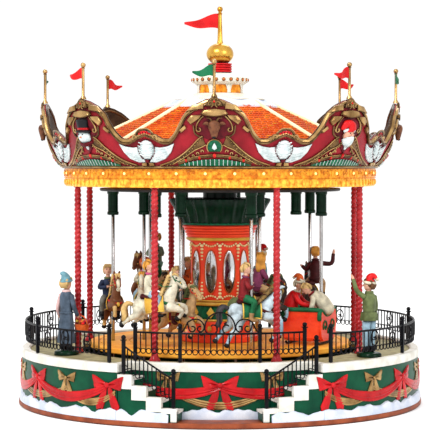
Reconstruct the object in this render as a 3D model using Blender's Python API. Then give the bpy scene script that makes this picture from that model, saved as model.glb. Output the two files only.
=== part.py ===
"""Tabletop merry-go-round: a turning carousel in a walled drum, under a scalloped, lit canopy.

World frame: metres, +Z up, origin at the centre of the base plate's underside. Angles round
the carousel are in degrees from the front (-Y), counted towards +X.
"""
import math

import bmesh
import bpy
from mathutils import Matrix, Vector

MM = 0.001
GAP = 0.3 * MM                      # clearance kept between touching pieces

# Base: plate, drum wall with a set-back front, coping and deck
BASE_RADIUS = 146.4 * MM
BASE_TOP = 3.8 * MM
DRUM_RADIUS = 144.0 * MM
RECESS_RADIUS = 125.6 * MM
RECESS_HALF_ANGLE = 28.3
WALL = 3.0 * MM
DRUM_TOP = 35.0 * MM
COPING_LIP = 0.5 * MM               # overhang past the drum wall
COPING_WIDTH = 6.0 * MM
COPING_TOP = 40.9 * MM
LEDGE_WIDTH = 4.5 * MM              # shelf inside the coping that carries the deck
LEDGE_TOP = 36.5 * MM
DECK_TOP = 39.1 * MM
DECK_HOLE_RADIUS = 101.0 * MM

# Stairs and railings
STAIR_FOOT_ANGLE = 11.4
STAIR_TREADS = 4
CURB_WIDTH = 3.5 * MM
CURB_RISE = 2.0 * MM
RAIL_HEIGHT = 19.7 * MM
RAIL_SIZE = 1.3 * MM
POST_HEIGHT = 22.5 * MM
POST_SIZE = 2.2 * MM
PICKET_SIZE = 1.0 * MM
RING_LEVEL = 5.1 * MM               # underside of the band of small rings, over a railing's foot
RING_BAND = 3.6 * MM
BALL_RADIUS = 1.7 * MM
DECK_RAIL_RADIUS = 141.0 * MM
DECK_RAIL_START = 31.5
FRONT_RAIL_RADIUS = 122.8 * MM
FRONT_POSTS = (-27.6, -12.5, 12.5, 27.6)

# Columns and canopy
PEAKS = 8
PEAK_STEP = 360 / PEAKS
COLUMN_CIRCLE = 107.8 * MM
COLUMN_RADIUS = 2.4 * MM
COLUMN_FOOT_RADIUS = 3.8 * MM
BAND_BOTTOM = 159.0 * MM
BAND_TOP = 170.0 * MM
BAND_RADIUS = 113.5 * MM
BAND_INNER_RADIUS = 104.0 * MM
CEILING_TOP = 172.3 * MM
CANOPY_TURN = -1.7                  # degrees that the columns, cornice and flags are turned from the front
PEAK_EDGE = ((0, 216.7), (2.4, 215.6), (5.8, 212.3), (8.6, 207.6), (10.2, 201.0), (11.9, 194.6),
             (14.0, 190.0), (16.8, 190.0), (19.5, 193.0), (22.5, 195.4))    # degrees, millimetres
FLARE_RADIUS = 129.5 * MM
FLARE_TOP = 200.8 * MM
FLARE_POWER = 0.6
CORNICE_THICKNESS = 2.5 * MM
ROOF_EAVE_RADIUS = 116.0 * MM
ROOF_EAVE = 179.9 * MM
ROOF_CROWN_RADIUS = 32.2 * MM
ROOF_CROWN = 219.0 * MM
ROOF_THICKNESS = 2.2 * MM
FLAG_CIRCLE = 127.8 * MM
FLAG_POLE_HEIGHT = 25.0 * MM
FLAGS_HANGING = (90, 270)
FLAGS_TO_RIGHT = (135, 225, 90)
LANTERN_TOP = 239.0 * MM
FINIAL_TOP = 287.6 * MM

# Rotor: shaft, gear, turntable, centre column, canopy disc with pole sleeves
SHAFT_RADIUS = 4.0 * MM
SHAFT_TOP = 175.0 * MM
BORE = SHAFT_RADIUS + GAP
GEAR_MODULE = 1.0 * MM
GEAR_TEETH = 48
PINION_TEETH = 12
GEAR_BOTTOM = 12.0 * MM
GEAR_TOP = 16.0 * MM
TURNTABLE_RADIUS = 95.0 * MM
TURNTABLE_TOP = 44.5 * MM
TURNTABLE_THICKNESS = 4.0 * MM
DISC_RADIUS = 87.6 * MM
DISC_BOTTOM = 153.5 * MM
DISC_TOP = 155.5 * MM
SLEEVE_BOTTOM = 136.0 * MM
SLEEVE_RADIUS = 4.2 * MM

# Riders: horses on poles that slide up and down
OUTER_CIRCLE = 78.0 * MM
INNER_CIRCLE = 55.5 * MM
POLE_RADIUS = 1.25 * MM
POLE_BORE = 1.65 * MM
POLE_FOOT = 20.7 * MM
POLE_TOP = 144.7 * MM
HOOF_HEIGHT = 56.0 * MM             # hooves at the middle of the stroke
HORSE_WIDTH = 9.0 * MM
SLEIGH_ANGLE = 68.0
# Angle on the ring, and lift above the middle of the stroke at rest
OUTER_HORSES = ((-86, 2.0 * MM), (-35, 5.0 * MM), (16, -8.0 * MM),
                (120, 3.0 * MM), (171, -5.0 * MM), (-137, 8.0 * MM))
INNER_HORSES = ((-90, 3.0 * MM), (-30, -6.0 * MM), (30, -4.0 * MM),
                (150, 4.0 * MM), (210, -3.0 * MM))
SLEIGH_SLEEVES = ((OUTER_CIRCLE, 68), (INNER_CIRCLE, 90))

# Electrics at the back of the drum
SWITCH_ANGLE = 160.0
SWITCH_HEIGHT = 18.0 * MM
SWITCH_STEM = 2.6 * MM
SWITCH_TRAVEL = 3.0 * MM
SWITCH_SLOT = SWITCH_STEM + SWITCH_TRAVEL + 2 * GAP
SOCKET_ANGLE = 180.0
SOCKET_HEIGHT = 18.0 * MM
SOCKET_RADIUS = 4.4 * MM
SOCKET_BORE = 3.2 * MM

# Linear colour, roughness, metallic
PALETTE = {
    "brown_earth": ((0.16, 0.05, 0.03), 0.7, 0.0),
    "green_wall": ((0.05, 0.19, 0.06), 0.6, 0.0),
    "cream_stone": ((0.75, 0.68, 0.52), 0.6, 0.0),
    "deck_stone": ((0.30, 0.28, 0.16), 0.7, 0.0),
    "black_iron": ((0.012, 0.012, 0.012), 0.4, 0.3),
    "red_lacquer": ((0.45, 0.02, 0.02), 0.3, 0.0),
    "amber_glow": ((0.95, 0.42, 0.06), 0.35, 0.0),
    "gold_paint": ((0.55, 0.33, 0.10), 0.35, 0.6),
    "tile_orange": ((0.65, 0.11, 0.02), 0.5, 0.0),
    "white_paint": ((0.85, 0.80, 0.66), 0.5, 0.0),
    "flag_red": ((0.70, 0.02, 0.02), 0.5, 0.0),
    "flag_green": ((0.02, 0.20, 0.07), 0.5, 0.0),
    "dark_green": ((0.02, 0.09, 0.05), 0.4, 0.0),
    "wood_orange": ((0.60, 0.25, 0.05), 0.45, 0.0),
    "horse_cream": ((0.75, 0.62, 0.35), 0.45, 0.0),
    "coat_blue": ((0.10, 0.16, 0.26), 0.6, 0.0),
    "coat_green": ((0.15, 0.20, 0.08), 0.6, 0.0),
    "steel": ((0.55, 0.55, 0.56), 0.3, 1.0),
    "nylon": ((0.80, 0.78, 0.70), 0.5, 0.0),
    "black_plastic": ((0.02, 0.02, 0.02), 0.5, 0.0),
    "board_green": ((0.02, 0.18, 0.06), 0.4, 0.0),
}


# ---------------------------------------------------------------- helpers

def clear_scene():
    for obj in list(bpy.data.objects):
        bpy.data.objects.remove(obj, do_unlink=True)


def at(radius, angle, height=0.0):
    """Point at a radius, an angle from the front and a height."""
    turn = math.radians(angle)
    return Vector((radius * math.sin(turn), -radius * math.cos(turn), height))


def spread(start, end, steps):
    """Evenly spaced values from start to end, both included."""
    return [start + (end - start) * i / steps for i in range(steps + 1)]


def material(name):
    """Principled material of the palette, made once."""
    if name in bpy.data.materials:
        return bpy.data.materials[name]
    colour, roughness, metallic = PALETTE[name]
    mat = bpy.data.materials.new(name)
    mat.use_nodes = True
    shader = mat.node_tree.nodes["Principled BSDF"]
    shader.inputs["Base Color"].default_value = (*colour, 1.0)
    shader.inputs["Roughness"].default_value = roughness
    shader.inputs["Metallic"].default_value = metallic
    mat.diffuse_color = (*colour, 1.0)
    return mat


def skin(loops, closed=False):
    """Closed mesh through loops of equal length: capped at its ends, or joined end to end."""
    bm = bmesh.new()
    rings = [[bm.verts.new(point) for point in loop] for loop in loops]
    pairs = list(zip(rings, rings[1:]))
    if closed:
        pairs.append((rings[-1], rings[0]))
    else:
        bm.faces.new(rings[0])
        bm.faces.new(rings[-1])
    count = len(rings[0])
    for low, high in pairs:
        for i in range(count):
            j = (i + 1) % count
            bm.faces.new((low[i], low[j], high[j], high[i]))
    bmesh.ops.recalc_face_normals(bm, faces=bm.faces[:])
    mesh = bpy.data.meshes.new("solid")
    bm.to_mesh(mesh)
    bm.free()
    return mesh


def circle(radius, height, segments):
    return [at(radius, 360 * i / segments, height) for i in range(segments)]


def turned(profile, segments, closed=False):
    """Solid turned round Z from (radius, height) points: closed ones leave a hole on the axis."""
    return skin([circle(radius, height, segments) for radius, height in profile], closed)


def bar(stations, width, height):
    """Rectangular bar through (radius, angle, height) stations, standing upright."""
    half = width / 2
    loops = []
    for radius, angle, base in stations:
        corners = ((-half, 0), (half, 0), (half, height), (-half, height))
        loops.append([at(radius + dr, angle, base + dz) for dr, dz in corners])
    return skin(loops)


def box(size, centre=(0, 0, 0)):
    x, y, z = (s / 2 for s in size)
    corners = ((-x, -y), (x, -y), (x, y), (-x, y))
    return skin([[Vector(centre) + Vector((cx, cy, side)) for cx, cy in corners] for side in (-z, z)])


def moved(mesh, offset=(0, 0, 0), turn=0.0, tilt=0.0):
    """The mesh tilted about X, turned about Z and shifted; angles in degrees."""
    turning = Matrix.Rotation(math.radians(turn), 4, "Z")
    tilting = Matrix.Rotation(math.radians(tilt), 4, "X")
    mesh.transform(Matrix.Translation(offset) @ turning @ tilting)
    return mesh


def place(name, mesh, finish, location=(0, 0, 0), turn=0.0):
    """Named object on its own origin; the turn is about Z, in degrees."""
    obj = bpy.data.objects.new(name, mesh)
    bpy.context.collection.objects.link(obj)
    obj.location = location
    obj.rotation_euler.z = math.radians(turn)
    if not mesh.materials:
        mesh.materials.append(material(finish))
    mesh.shade_smooth()
    mesh.set_sharp_from_angle(angle=math.radians(35))
    return obj


def combined(first, others, operation):
    """Mesh left by a Boolean union or difference of the first mesh with each of the others."""
    subject = bpy.data.objects.new("subject", first)
    tools = [bpy.data.objects.new("tool", mesh) for mesh in others]
    for obj in (subject, *tools):
        bpy.context.collection.objects.link(obj)
    for tool in tools:
        cut = subject.modifiers.new("boolean", "BOOLEAN")
        cut.operation = operation
        cut.object = tool
    graph = bpy.context.evaluated_depsgraph_get()
    result = bpy.data.meshes.new_from_object(subject.evaluated_get(graph))
    for obj in (subject, *tools):
        bpy.data.objects.remove(obj, do_unlink=True)
    return result


def fused(*meshes):
    return combined(meshes[0], meshes[1:], "UNION")


# ---------------------------------------------------------------- base and deck

def drum_outline(outer, recess, half_angle):
    """(radius, angle) round the drum: a circle whose front is set back between the stairs."""
    corner = 0.2
    front = [(recess, angle) for angle in spread(corner - half_angle, half_angle - corner, 8)]
    back = [(outer, angle) for angle in spread(half_angle, 360 - half_angle, 36)]
    return front + back


def outline_loop(outline, height):
    return [at(radius, angle, height) for radius, angle in outline]


def inset_outline(depth):
    """Drum outline moved inwards by a depth, radially and along the recess's ends."""
    side = math.degrees(depth / DRUM_RADIUS)
    return drum_outline(DRUM_RADIUS - depth, RECESS_RADIUS - depth, RECESS_HALF_ANGLE + side)


def make_base_plate():
    place("base_plate", turned([(BASE_RADIUS, 0), (BASE_RADIUS, BASE_TOP)], 64), "brown_earth")


def make_drum_wall():
    """Outer wall with a slot for the switch and a round hole for the power socket."""
    low = BASE_TOP + GAP
    outer, inner = inset_outline(0), inset_outline(WALL)
    rings = ((outer, low), (outer, DRUM_TOP), (inner, DRUM_TOP), (inner, low))
    wall = skin([outline_loop(outline, height) for outline, height in rings], closed=True)
    slot = box((SWITCH_SLOT, 4 * WALL, SWITCH_STEM + 2 * GAP))
    moved(slot, at(DRUM_RADIUS, SWITCH_ANGLE, SWITCH_HEIGHT), SWITCH_ANGLE)
    hole = turned([(SOCKET_RADIUS + GAP, -2 * WALL), (SOCKET_RADIUS + GAP, 2 * WALL)], 12)
    moved(hole, at(DRUM_RADIUS, SOCKET_ANGLE, SOCKET_HEIGHT), SOCKET_ANGLE, 90)
    place("drum_wall", combined(wall, [slot, hole], "DIFFERENCE"), "green_wall")


def make_coping():
    """Raised rim on the drum wall, with a shelf inside it that carries the deck."""
    low = DRUM_TOP + GAP
    edge, rim = inset_outline(-COPING_LIP), inset_outline(COPING_WIDTH - COPING_LIP)
    ledge = inset_outline(COPING_WIDTH + LEDGE_WIDTH)
    rings = ((edge, low), (edge, COPING_TOP), (rim, COPING_TOP), (rim, LEDGE_TOP),
             (ledge, LEDGE_TOP), (ledge, low))
    loops = [outline_loop(outline, height) for outline, height in rings]
    place("coping", skin(loops, closed=True), "cream_stone")


def make_deck():
    low = LEDGE_TOP + GAP
    edge = inset_outline(COPING_WIDTH - COPING_LIP + GAP)
    hole = [(DECK_HOLE_RADIUS, angle) for _, angle in edge]
    rings = ((edge, low), (edge, DECK_TOP), (hole, DECK_TOP), (hole, low))
    loops = [outline_loop(outline, height) for outline, height in rings]
    place("deck", skin(loops, closed=True), "deck_stone")


def make_stairs(name, side):
    """Solid flight against the recess, with a stepped curb on its outer edge."""
    inner, outer = RECESS_RADIUS + GAP, DRUM_RADIUS - GAP
    curb = outer - CURB_WIDTH
    top_angle = RECESS_HALF_ANGLE - math.degrees(2 * GAP / DRUM_RADIUS)
    rise = (DECK_TOP - BASE_TOP) / (STAIR_TREADS + 1)
    run = (top_angle - STAIR_FOOT_ANGLE) / STAIR_TREADS
    nosing = 0.06
    low = BASE_TOP + GAP
    loops = []
    for step in range(STAIR_TREADS):
        tread = BASE_TOP + rise * (step + 1)
        section = ((inner, low), (inner, tread), (curb, tread), (curb, tread + CURB_RISE),
                   (outer, tread + CURB_RISE), (outer, low))
        start = STAIR_FOOT_ANGLE + run * step + nosing
        middle, end = start + run / 2, start + run - nosing
        for angle in (start, middle, end):
            loops.append([at(radius, side * angle, height) for radius, height in section])
    place(name, skin(loops), "cream_stone")


# ---------------------------------------------------------------- railings

def ball(radius, centre):
    profile = [(radius * math.cos(math.radians(a)), radius * math.sin(math.radians(a)))
               for a in (-65, 0, 65)]
    return moved(turned(profile, 6), centre)


def upright(radius, angle, low, high, size):
    """Square upright from one height to another."""
    middle = (low + high) / 2
    return moved(box((size, size, high - low)), at(radius, angle, middle), angle)


def railing(radius, start, end, posts, pickets, foot, end_foot, low_rail=(RING_LEVEL, RING_BAND)):
    """Two rails with posts and pickets between two angles, level or sloping to an end foot."""
    reach = end - start

    def height(angle):
        return foot + (end_foot - foot) * (angle - start) / reach

    steps = max(2, round(abs(reach) / 10))
    parts = []
    for level, size in (low_rail, (RAIL_HEIGHT - RAIL_SIZE, RAIL_SIZE)):
        stations = [(radius, angle, height(angle) + level) for angle in spread(start, end, steps)]
        parts.append(bar(stations, RAIL_SIZE, size))
    for angle in posts:
        low = height(angle)
        parts.append(upright(radius, angle, low, low + POST_HEIGHT, POST_SIZE))
        parts.append(ball(BALL_RADIUS, at(radius, angle, low + POST_HEIGHT + BALL_RADIUS / 2)))
    for angle in pickets:
        low = height(angle) + RING_LEVEL + RING_BAND / 2
        high = height(angle) + RAIL_HEIGHT - RAIL_SIZE / 2
        parts.append(upright(radius, angle, low, high, PICKET_SIZE))
    return fused(*parts)


def between(posts, count):
    """Picket angles: the same number in each bay between neighbouring posts."""
    return [angle for a, b in zip(posts, posts[1:]) for angle in spread(a, b, count + 1)[1:-1]]


def make_railings():
    foot = COPING_TOP + GAP
    start, end = DECK_RAIL_START, 360 - DECK_RAIL_START
    posts = spread(start, end, 9)
    mesh = railing(DECK_RAIL_RADIUS, start, end, posts, between(posts, 8), foot, foot)
    place("railing_deck", mesh, "black_iron")
    start, end = FRONT_POSTS[0], FRONT_POSTS[-1]
    mesh = railing(FRONT_RAIL_RADIUS, start, end, FRONT_POSTS, between(FRONT_POSTS, 6), foot, foot)
    place("railing_front", mesh, "black_iron")


def make_stair_rail(name, side):
    """Sloping handrail on the curb of one flight."""
    radius = DRUM_RADIUS - GAP - CURB_WIDTH / 2
    rise = (DECK_TOP - BASE_TOP) / (STAIR_TREADS + 1)
    top, bottom = RECESS_HALF_ANGLE - 1.6, STAIR_FOOT_ANGLE + 1.0
    high = BASE_TOP + rise * STAIR_TREADS + CURB_RISE + GAP
    low = BASE_TOP + rise + CURB_RISE + GAP
    posts = (side * top, side * bottom)
    mesh = railing(radius, posts[0], posts[1], posts, (), high, low, (RAIL_HEIGHT / 2, RAIL_SIZE))
    place(name, mesh, "black_iron")


# ---------------------------------------------------------------- canopy

def make_columns():
    foot = 2.5 * MM
    low, high = DECK_TOP + GAP, BAND_BOTTOM - GAP
    profile = ((COLUMN_FOOT_RADIUS, low), (COLUMN_FOOT_RADIUS, low + foot),
               (COLUMN_RADIUS, low + 2 * foot), (COLUMN_RADIUS, high - foot),
               (COLUMN_FOOT_RADIUS, high))
    shaft = turned(profile, 8)
    for i in range(PEAKS):
        angle = (i + 0.5) * PEAK_STEP + CANOPY_TURN
        place(f"column_{i + 1}", shaft, "red_lacquer", at(COLUMN_CIRCLE, angle), angle)


def make_band_and_ceiling():
    step = BAND_BOTTOM + 4.7 * MM
    lip = 1.0 * MM
    profile = ((BAND_RADIUS - lip, BAND_BOTTOM), (BAND_RADIUS - lip, step), (BAND_RADIUS, step),
               (BAND_RADIUS, BAND_TOP), (BAND_INNER_RADIUS, BAND_TOP), (BAND_INNER_RADIUS, BAND_BOTTOM))
    place("light_band", turned(profile, 40, closed=True), "amber_glow")
    low = BAND_TOP + GAP
    radius = COLUMN_CIRCLE + 1.5 * MM
    profile = ((radius, low), (radius, CEILING_TOP), (BORE, CEILING_TOP), (BORE, low))
    place("ceiling_plate", turned(profile, 24, closed=True), "white_paint")


def cornice_edge():
    """(angle, height) round the cornice's upper edge: a peak at the front and every 45 degrees."""
    half = [(angle, height * MM) for angle, height in PEAK_EDGE]
    sector = [(-angle, height) for angle, height in half[::-1]] + half[1:-1]
    return [(PEAK_STEP * peak + CANOPY_TURN + angle, height) for peak in range(PEAKS)
            for angle, height in sector]


def flare(height):
    """Outer radius of the cornice at a height."""
    low = BAND_TOP + GAP
    share = min(1, (height - low) / (FLARE_TOP - low))
    return BAND_RADIUS + 0.4 * MM + (FLARE_RADIUS - BAND_RADIUS - 0.4 * MM) * share ** FLARE_POWER


def make_cornice():
    low = BAND_TOP + GAP
    shares = (0, 0.12, 0.35, 0.65, 1)
    loops = []
    for inset, order in ((0, shares), (CORNICE_THICKNESS, shares[::-1])):
        for share in order:
            rows = [(angle, low + (edge - low) * share) for angle, edge in cornice_edge()]
            loops.append([at(flare(height) - inset, angle, height) for angle, height in rows])
    place("cornice", skin(loops, closed=True), "red_lacquer")


def make_roof():
    """Eight-sided tiled shell with an upright foot that stands on the ceiling plate."""
    slope = (ROOF_CROWN - ROOF_EAVE) / (ROOF_EAVE_RADIUS - ROOF_CROWN_RADIUS)

    def underside(radius):
        return ROOF_EAVE + (ROOF_EAVE_RADIUS - radius) * slope - ROOF_THICKNESS

    foot_outer = COLUMN_CIRCLE
    foot_inner = foot_outer - 2 * MM
    low = CEILING_TOP + GAP
    profile = ((ROOF_EAVE_RADIUS, ROOF_EAVE), (ROOF_CROWN_RADIUS, ROOF_CROWN),
               (ROOF_CROWN_RADIUS, underside(ROOF_CROWN_RADIUS)), (foot_inner, underside(foot_inner)),
               (foot_inner, low), (foot_outer, low), (foot_outer, underside(foot_outer)),
               (ROOF_EAVE_RADIUS, underside(ROOF_EAVE_RADIUS)))
    place("roof", turned(profile, PEAKS, closed=True), "tile_orange")


def make_lantern():
    """Small round tier on the roof: flared foot, window drum and awning, open underneath."""
    low = ROOF_CROWN + GAP
    inside = ((13 * MM, low + 16 * MM), (14 * MM, low))
    outside = ((33 * MM, low), (33 * MM, low + 0.9 * MM), (24 * MM, low + 3.2 * MM),
               (18.6 * MM, low + 4.8 * MM), (17 * MM, low + 5.1 * MM), (17 * MM, low + 11 * MM),
               (20.7 * MM, low + 13.7 * MM), (20.7 * MM, low + 16.7 * MM), (15 * MM, low + 18.9 * MM),
               (8.6 * MM, LANTERN_TOP))
    place("lantern", turned(inside + outside, 16), "white_paint")


def make_finial():
    """Red neck, gold ball and pole, with a pennant streaming to -X."""
    low = LANTERN_TOP + GAP
    centre, radius, squash = low + 14.2 * MM, 9.9 * MM, 0.70
    neck = [(8.2 * MM, low), (8.7 * MM, low + 2 * MM), (8.2 * MM, low + 4 * MM), (8.4 * MM, low + 7 * MM)]
    bulb = [(radius * math.cos(math.radians(a)), centre + squash * radius * math.sin(math.radians(a)))
            for a in (-30, 0, 35, 65)]
    tip = FINIAL_TOP
    pole = [(2.0 * MM, centre + 7 * MM), (1.3 * MM, tip - 5.5 * MM), (2.1 * MM, tip - 4 * MM),
            (2.1 * MM, tip - 1.5 * MM), (0.8 * MM, tip)]
    flag = pennant(26 * MM, 10 * MM, 0.0)
    mesh = fused(turned(neck + bulb + pole, 12), moved(flag, (0, 0, tip - 16.5 * MM)))
    place("finial", mesh, "gold_paint")


def pennant(length, height, droop):
    """Thin wavy flag that starts inside its pole and streams towards -X."""
    thickness = 0.7 * MM
    loops = []
    for share in spread(0, 1, 5):
        x = -share * length
        wave = 0.9 * MM * math.sin(2 * math.pi * share)
        low = -droop * share + 0.3 * height * share
        high = low + height * (1 - 0.55 * share)
        loops.append([Vector((x, wave - thickness / 2, low)), Vector((x, wave + thickness / 2, low)),
                      Vector((x, wave + thickness / 2, high)), Vector((x, wave - thickness / 2, high))])
    return skin(loops)


def make_corner_flags():
    """One flagpole on each peak; flags stream to the viewer's left, or right past the front."""
    low = PEAK_EDGE[0][1] * MM + GAP
    top = low + FLAG_POLE_HEIGHT
    for i in range(PEAKS):
        angle = i * PEAK_STEP
        profile = ((2.0 * MM, low), (1.6 * MM, low + 1.2 * MM), (0.9 * MM, low + 2.4 * MM),
                   (0.9 * MM, top - 3 * MM), (1.9 * MM, top - 2.2 * MM), (1.9 * MM, top - 1 * MM),
                   (0.6 * MM, top))
        hanging = angle in FLAGS_HANGING
        cloth = pennant(9 * MM, 6.5 * MM, 7 * MM) if hanging else pennant(15 * MM, 6.5 * MM, 0.0)
        streaming = 180 if angle in FLAGS_TO_RIGHT else 0
        moved(cloth, (0, 0, top - 11.5 * MM), streaming)
        mesh = fused(turned(profile, 6), cloth)
        finish = "flag_green" if hanging or angle == 0 else "flag_red"
        place(f"corner_flag_{i + 1}", mesh, finish, at(FLAG_CIRCLE, angle + CANOPY_TURN))


# ---------------------------------------------------------------- figures on the deck

def limb(start, end, radius):
    """Tapered round limb between two points."""
    start, end = Vector(start), Vector(end)
    along = end - start
    mesh = turned([(radius, 0), (radius * 0.7, along.length)], 6)
    mesh.transform(Matrix.Translation(start) @ along.to_track_quat("Z", "Y").to_matrix().to_4x4())
    return mesh


def person(height):
    """Standing body with plinth, coat and head; the profile is a share of the height."""
    shares = ((0.15, 0), (0.15, 0.06), (0.11, 0.07), (0.14, 0.20), (0.13, 0.45), (0.095, 0.62),
              (0.11, 0.76), (0.05, 0.80), (0.075, 0.86), (0.08, 0.93), (0.03, 1.0))
    return turned([(r * height, z * height) for r, z in shares], 10)


def make_figures():
    low = DECK_TOP + GAP
    height = 58.5 * MM
    arm = fused(person(height), limb((-4 * MM, 0, 42 * MM), (-10 * MM, -8 * MM, 36 * MM), 2.2 * MM))
    place("figure_left", arm, "coat_blue", at(118 * MM, -62.8, low), -62.8)
    height = 56.7 * MM
    arm = fused(person(height), limb((-4 * MM, 0, 40 * MM), (-12 * MM, 0, 54 * MM), 2.2 * MM))
    place("figure_right", arm, "coat_green", at(122 * MM, 56.7, low), 56.7)


# ---------------------------------------------------------------- drive

def gear(teeth, bottom, top):
    """Spur gear with a tooth centred on local +X."""
    pitch = 2 * math.pi / teeth
    radius = GEAR_MODULE * teeth / 2
    root, tip = radius - 1.1 * GEAR_MODULE, radius + 0.75 * GEAR_MODULE
    outline = []
    for i in range(teeth):
        for share, r in ((-0.30, root), (-0.12, tip), (0.12, tip), (0.30, root)):
            turn = (i + share) * pitch
            outline.append((r * math.cos(turn), r * math.sin(turn)))
    return skin([[Vector((x, y, z)) for x, y in outline] for z in (bottom, top)])


def make_drive():
    """Gear motor, pinion and drive gear under the turntable, with the shaft and its bearing."""
    low = BASE_TOP + GAP
    distance = GEAR_MODULE * (GEAR_TEETH + PINION_TEETH) / 2
    can = ((10 * MM, low), (10 * MM, GEAR_BOTTOM - 3 * MM), (3.5 * MM, GEAR_BOTTOM - 2.6 * MM),
           (3.5 * MM, GEAR_BOTTOM - 1.3 * MM))
    place("gear_motor", turned(can, 16), "steel", at(distance, 180))
    pinion = gear(PINION_TEETH, GEAR_BOTTOM - 1 * MM, GEAR_TOP + 1 * MM)
    # a gap between pinion teeth faces the tooth of the drive gear at the back
    place("pinion", pinion, "nylon", at(distance, 180), 180 / PINION_TEETH)
    bore = turned([(BORE, low), (BORE, TURNTABLE_TOP)], 12)
    wheel = combined(gear(GEAR_TEETH, GEAR_BOTTOM, GEAR_TOP), [bore], "DIFFERENCE")
    place("drive_gear", wheel, "nylon")
    place("main_shaft", turned([(SHAFT_RADIUS, low), (SHAFT_RADIUS, SHAFT_TOP)], 12), "steel")
    ring = ((8 * MM, low), (8 * MM, GEAR_BOTTOM - GAP), (BORE, GEAR_BOTTOM - GAP), (BORE, low))
    place("bearing_lower", turned(ring, 16, closed=True), "nylon")


def make_wave_track():
    """Fixed ring with two waved ridges: the cams under the horses' poles."""
    low, plate = BASE_TOP + GAP, BASE_TOP + 2.2 * MM
    width = 9 * MM
    crest, wave = 8.5 * MM, 2.4 * MM
    loops = [[], [], [], [], [], [], [], [], [], []]
    for i in range(24):
        angle = 15 * i
        inner = crest + wave * math.sin(math.radians(2 * angle))
        outer = crest - wave * math.sin(math.radians(angle))
        section = ((INNER_CIRCLE - width / 2, low), (INNER_CIRCLE - width / 2, inner),
                   (INNER_CIRCLE + width / 2, inner), (INNER_CIRCLE + width / 2, plate),
                   (OUTER_CIRCLE - width / 2, plate), (OUTER_CIRCLE - width / 2, outer),
                   (OUTER_CIRCLE + width / 2, outer), (OUTER_CIRCLE + width / 2, low),
                   (OUTER_CIRCLE - width, low), (INNER_CIRCLE + width, low))
        for loop, (radius, height) in zip(loops, section):
            loop.append(at(radius, angle, height))
    place("wave_track", skin(loops, closed=True), "nylon")


def make_electrics():
    """Speaker, circuit board, power socket and the slide switch at the back of the drum."""
    low = BASE_TOP + GAP
    cone = ((14 * MM, low), (14 * MM, low + 3 * MM), (8 * MM, low + 9 * MM), (8 * MM, low + 12 * MM))
    place("speaker", turned(cone, 16), "black_plastic", at(105 * MM, 135))
    place("circuit_board", box((30 * MM, 18 * MM, 1.6 * MM)), "board_green",
          at(105 * MM, -135, low + 0.8 * MM), -135)
    well = 8 * MM
    depth = 11 * MM
    cup = ((SOCKET_BORE, depth - well), (SOCKET_BORE, depth), (SOCKET_RADIUS, depth), (SOCKET_RADIUS, 0))
    socket = moved(turned(cup, 12), tilt=90)
    place("dc_socket", socket, "black_plastic",
          at(DRUM_RADIUS + 0.8 * MM - depth, SOCKET_ANGLE, SOCKET_HEIGHT), SOCKET_ANGLE)
    stem, cap = SWITCH_STEM / 2, SWITCH_STEM
    face = DRUM_RADIUS + GAP
    stations = ((stem, DRUM_RADIUS - 2 * WALL), (stem, face), (cap, face), (cap, face + 1.5 * MM))
    loops = [[Vector((x, DRUM_RADIUS - reach, z)) for x, z in ((-s, -s), (s, -s), (s, s), (-s, s))]
             for s, reach in stations]
    off = at(DRUM_RADIUS, SWITCH_ANGLE, SWITCH_HEIGHT) - at(SWITCH_TRAVEL / 2, SWITCH_ANGLE + 90)
    place("switch_slider", skin(loops), "black_plastic", off, SWITCH_ANGLE)


# ---------------------------------------------------------------- rotor

def make_rotor():
    top, low = TURNTABLE_TOP, TURNTABLE_TOP - TURNTABLE_THICKNESS
    hub = 12 * MM
    profile = ((BORE, low - 6 * MM), (hub, low - 6 * MM), (hub, low), (TURNTABLE_RADIUS, low),
               (TURNTABLE_RADIUS, top), (BORE, top))
    holes = []
    for radius, horses in ((OUTER_CIRCLE, OUTER_HORSES), (INNER_CIRCLE, INNER_HORSES)):
        for angle, _ in horses:
            drill = turned([(POLE_BORE, low - 2 * MM), (POLE_BORE, top + 2 * MM)], 8)
            holes.append(moved(drill, at(radius, angle), turn=10))
    place("turntable", combined(turned(profile, 48, closed=True), holes, "DIFFERENCE"), "wood_orange")

    low = TURNTABLE_TOP + GAP
    profile = ((BORE, low), (30 * MM, low), (30 * MM, 49 * MM), (24 * MM, 49.5 * MM), (24 * MM, 59.6 * MM),
               (22.5 * MM, 60 * MM), (22.5 * MM, 71 * MM), (24 * MM, 72.5 * MM), (22 * MM, 74.5 * MM),
               (22 * MM, 116.7 * MM), (23.5 * MM, 118.5 * MM), (27 * MM, 128.6 * MM), (BORE, 128.6 * MM))
    place("centre_column", turned(profile, 10, closed=True), "red_lacquer")
    low, high = 128.6 * MM + GAP, DISC_BOTTOM - GAP
    profile = ((BORE, low), (28.5 * MM, low), (30.5 * MM, 136 * MM), (36 * MM, 147 * MM), (36 * MM, 148 * MM),
               (12.4 * MM, 148.4 * MM), (12.4 * MM, high), (BORE, high))
    place("bell_canopy", turned(profile, 20, closed=True), "dark_green")
    place("upper_disc", upper_disc(), "dark_green")


def upper_disc():
    """Disc over the riders with blind sleeves that guide the tops of their poles."""
    profile = ((BORE, DISC_BOTTOM), (DISC_RADIUS, DISC_BOTTOM), (DISC_RADIUS, DISC_TOP), (BORE, DISC_TOP))
    well = DISC_BOTTOM - 0.2 * MM
    sleeve = ((POLE_BORE, well), (POLE_BORE, SLEEVE_BOTTOM), (SLEEVE_RADIUS, SLEEVE_BOTTOM),
              (SLEEVE_RADIUS, DISC_BOTTOM + 1 * MM))
    places = [(OUTER_CIRCLE, angle) for angle, _ in OUTER_HORSES]
    places += [(INNER_CIRCLE, angle) for angle, _ in INNER_HORSES]
    places += SLEIGH_SLEEVES
    sleeves = [moved(turned(sleeve, 8), at(radius, angle)) for radius, angle in places]
    return fused(turned(profile, 40, closed=True), *sleeves)


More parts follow.
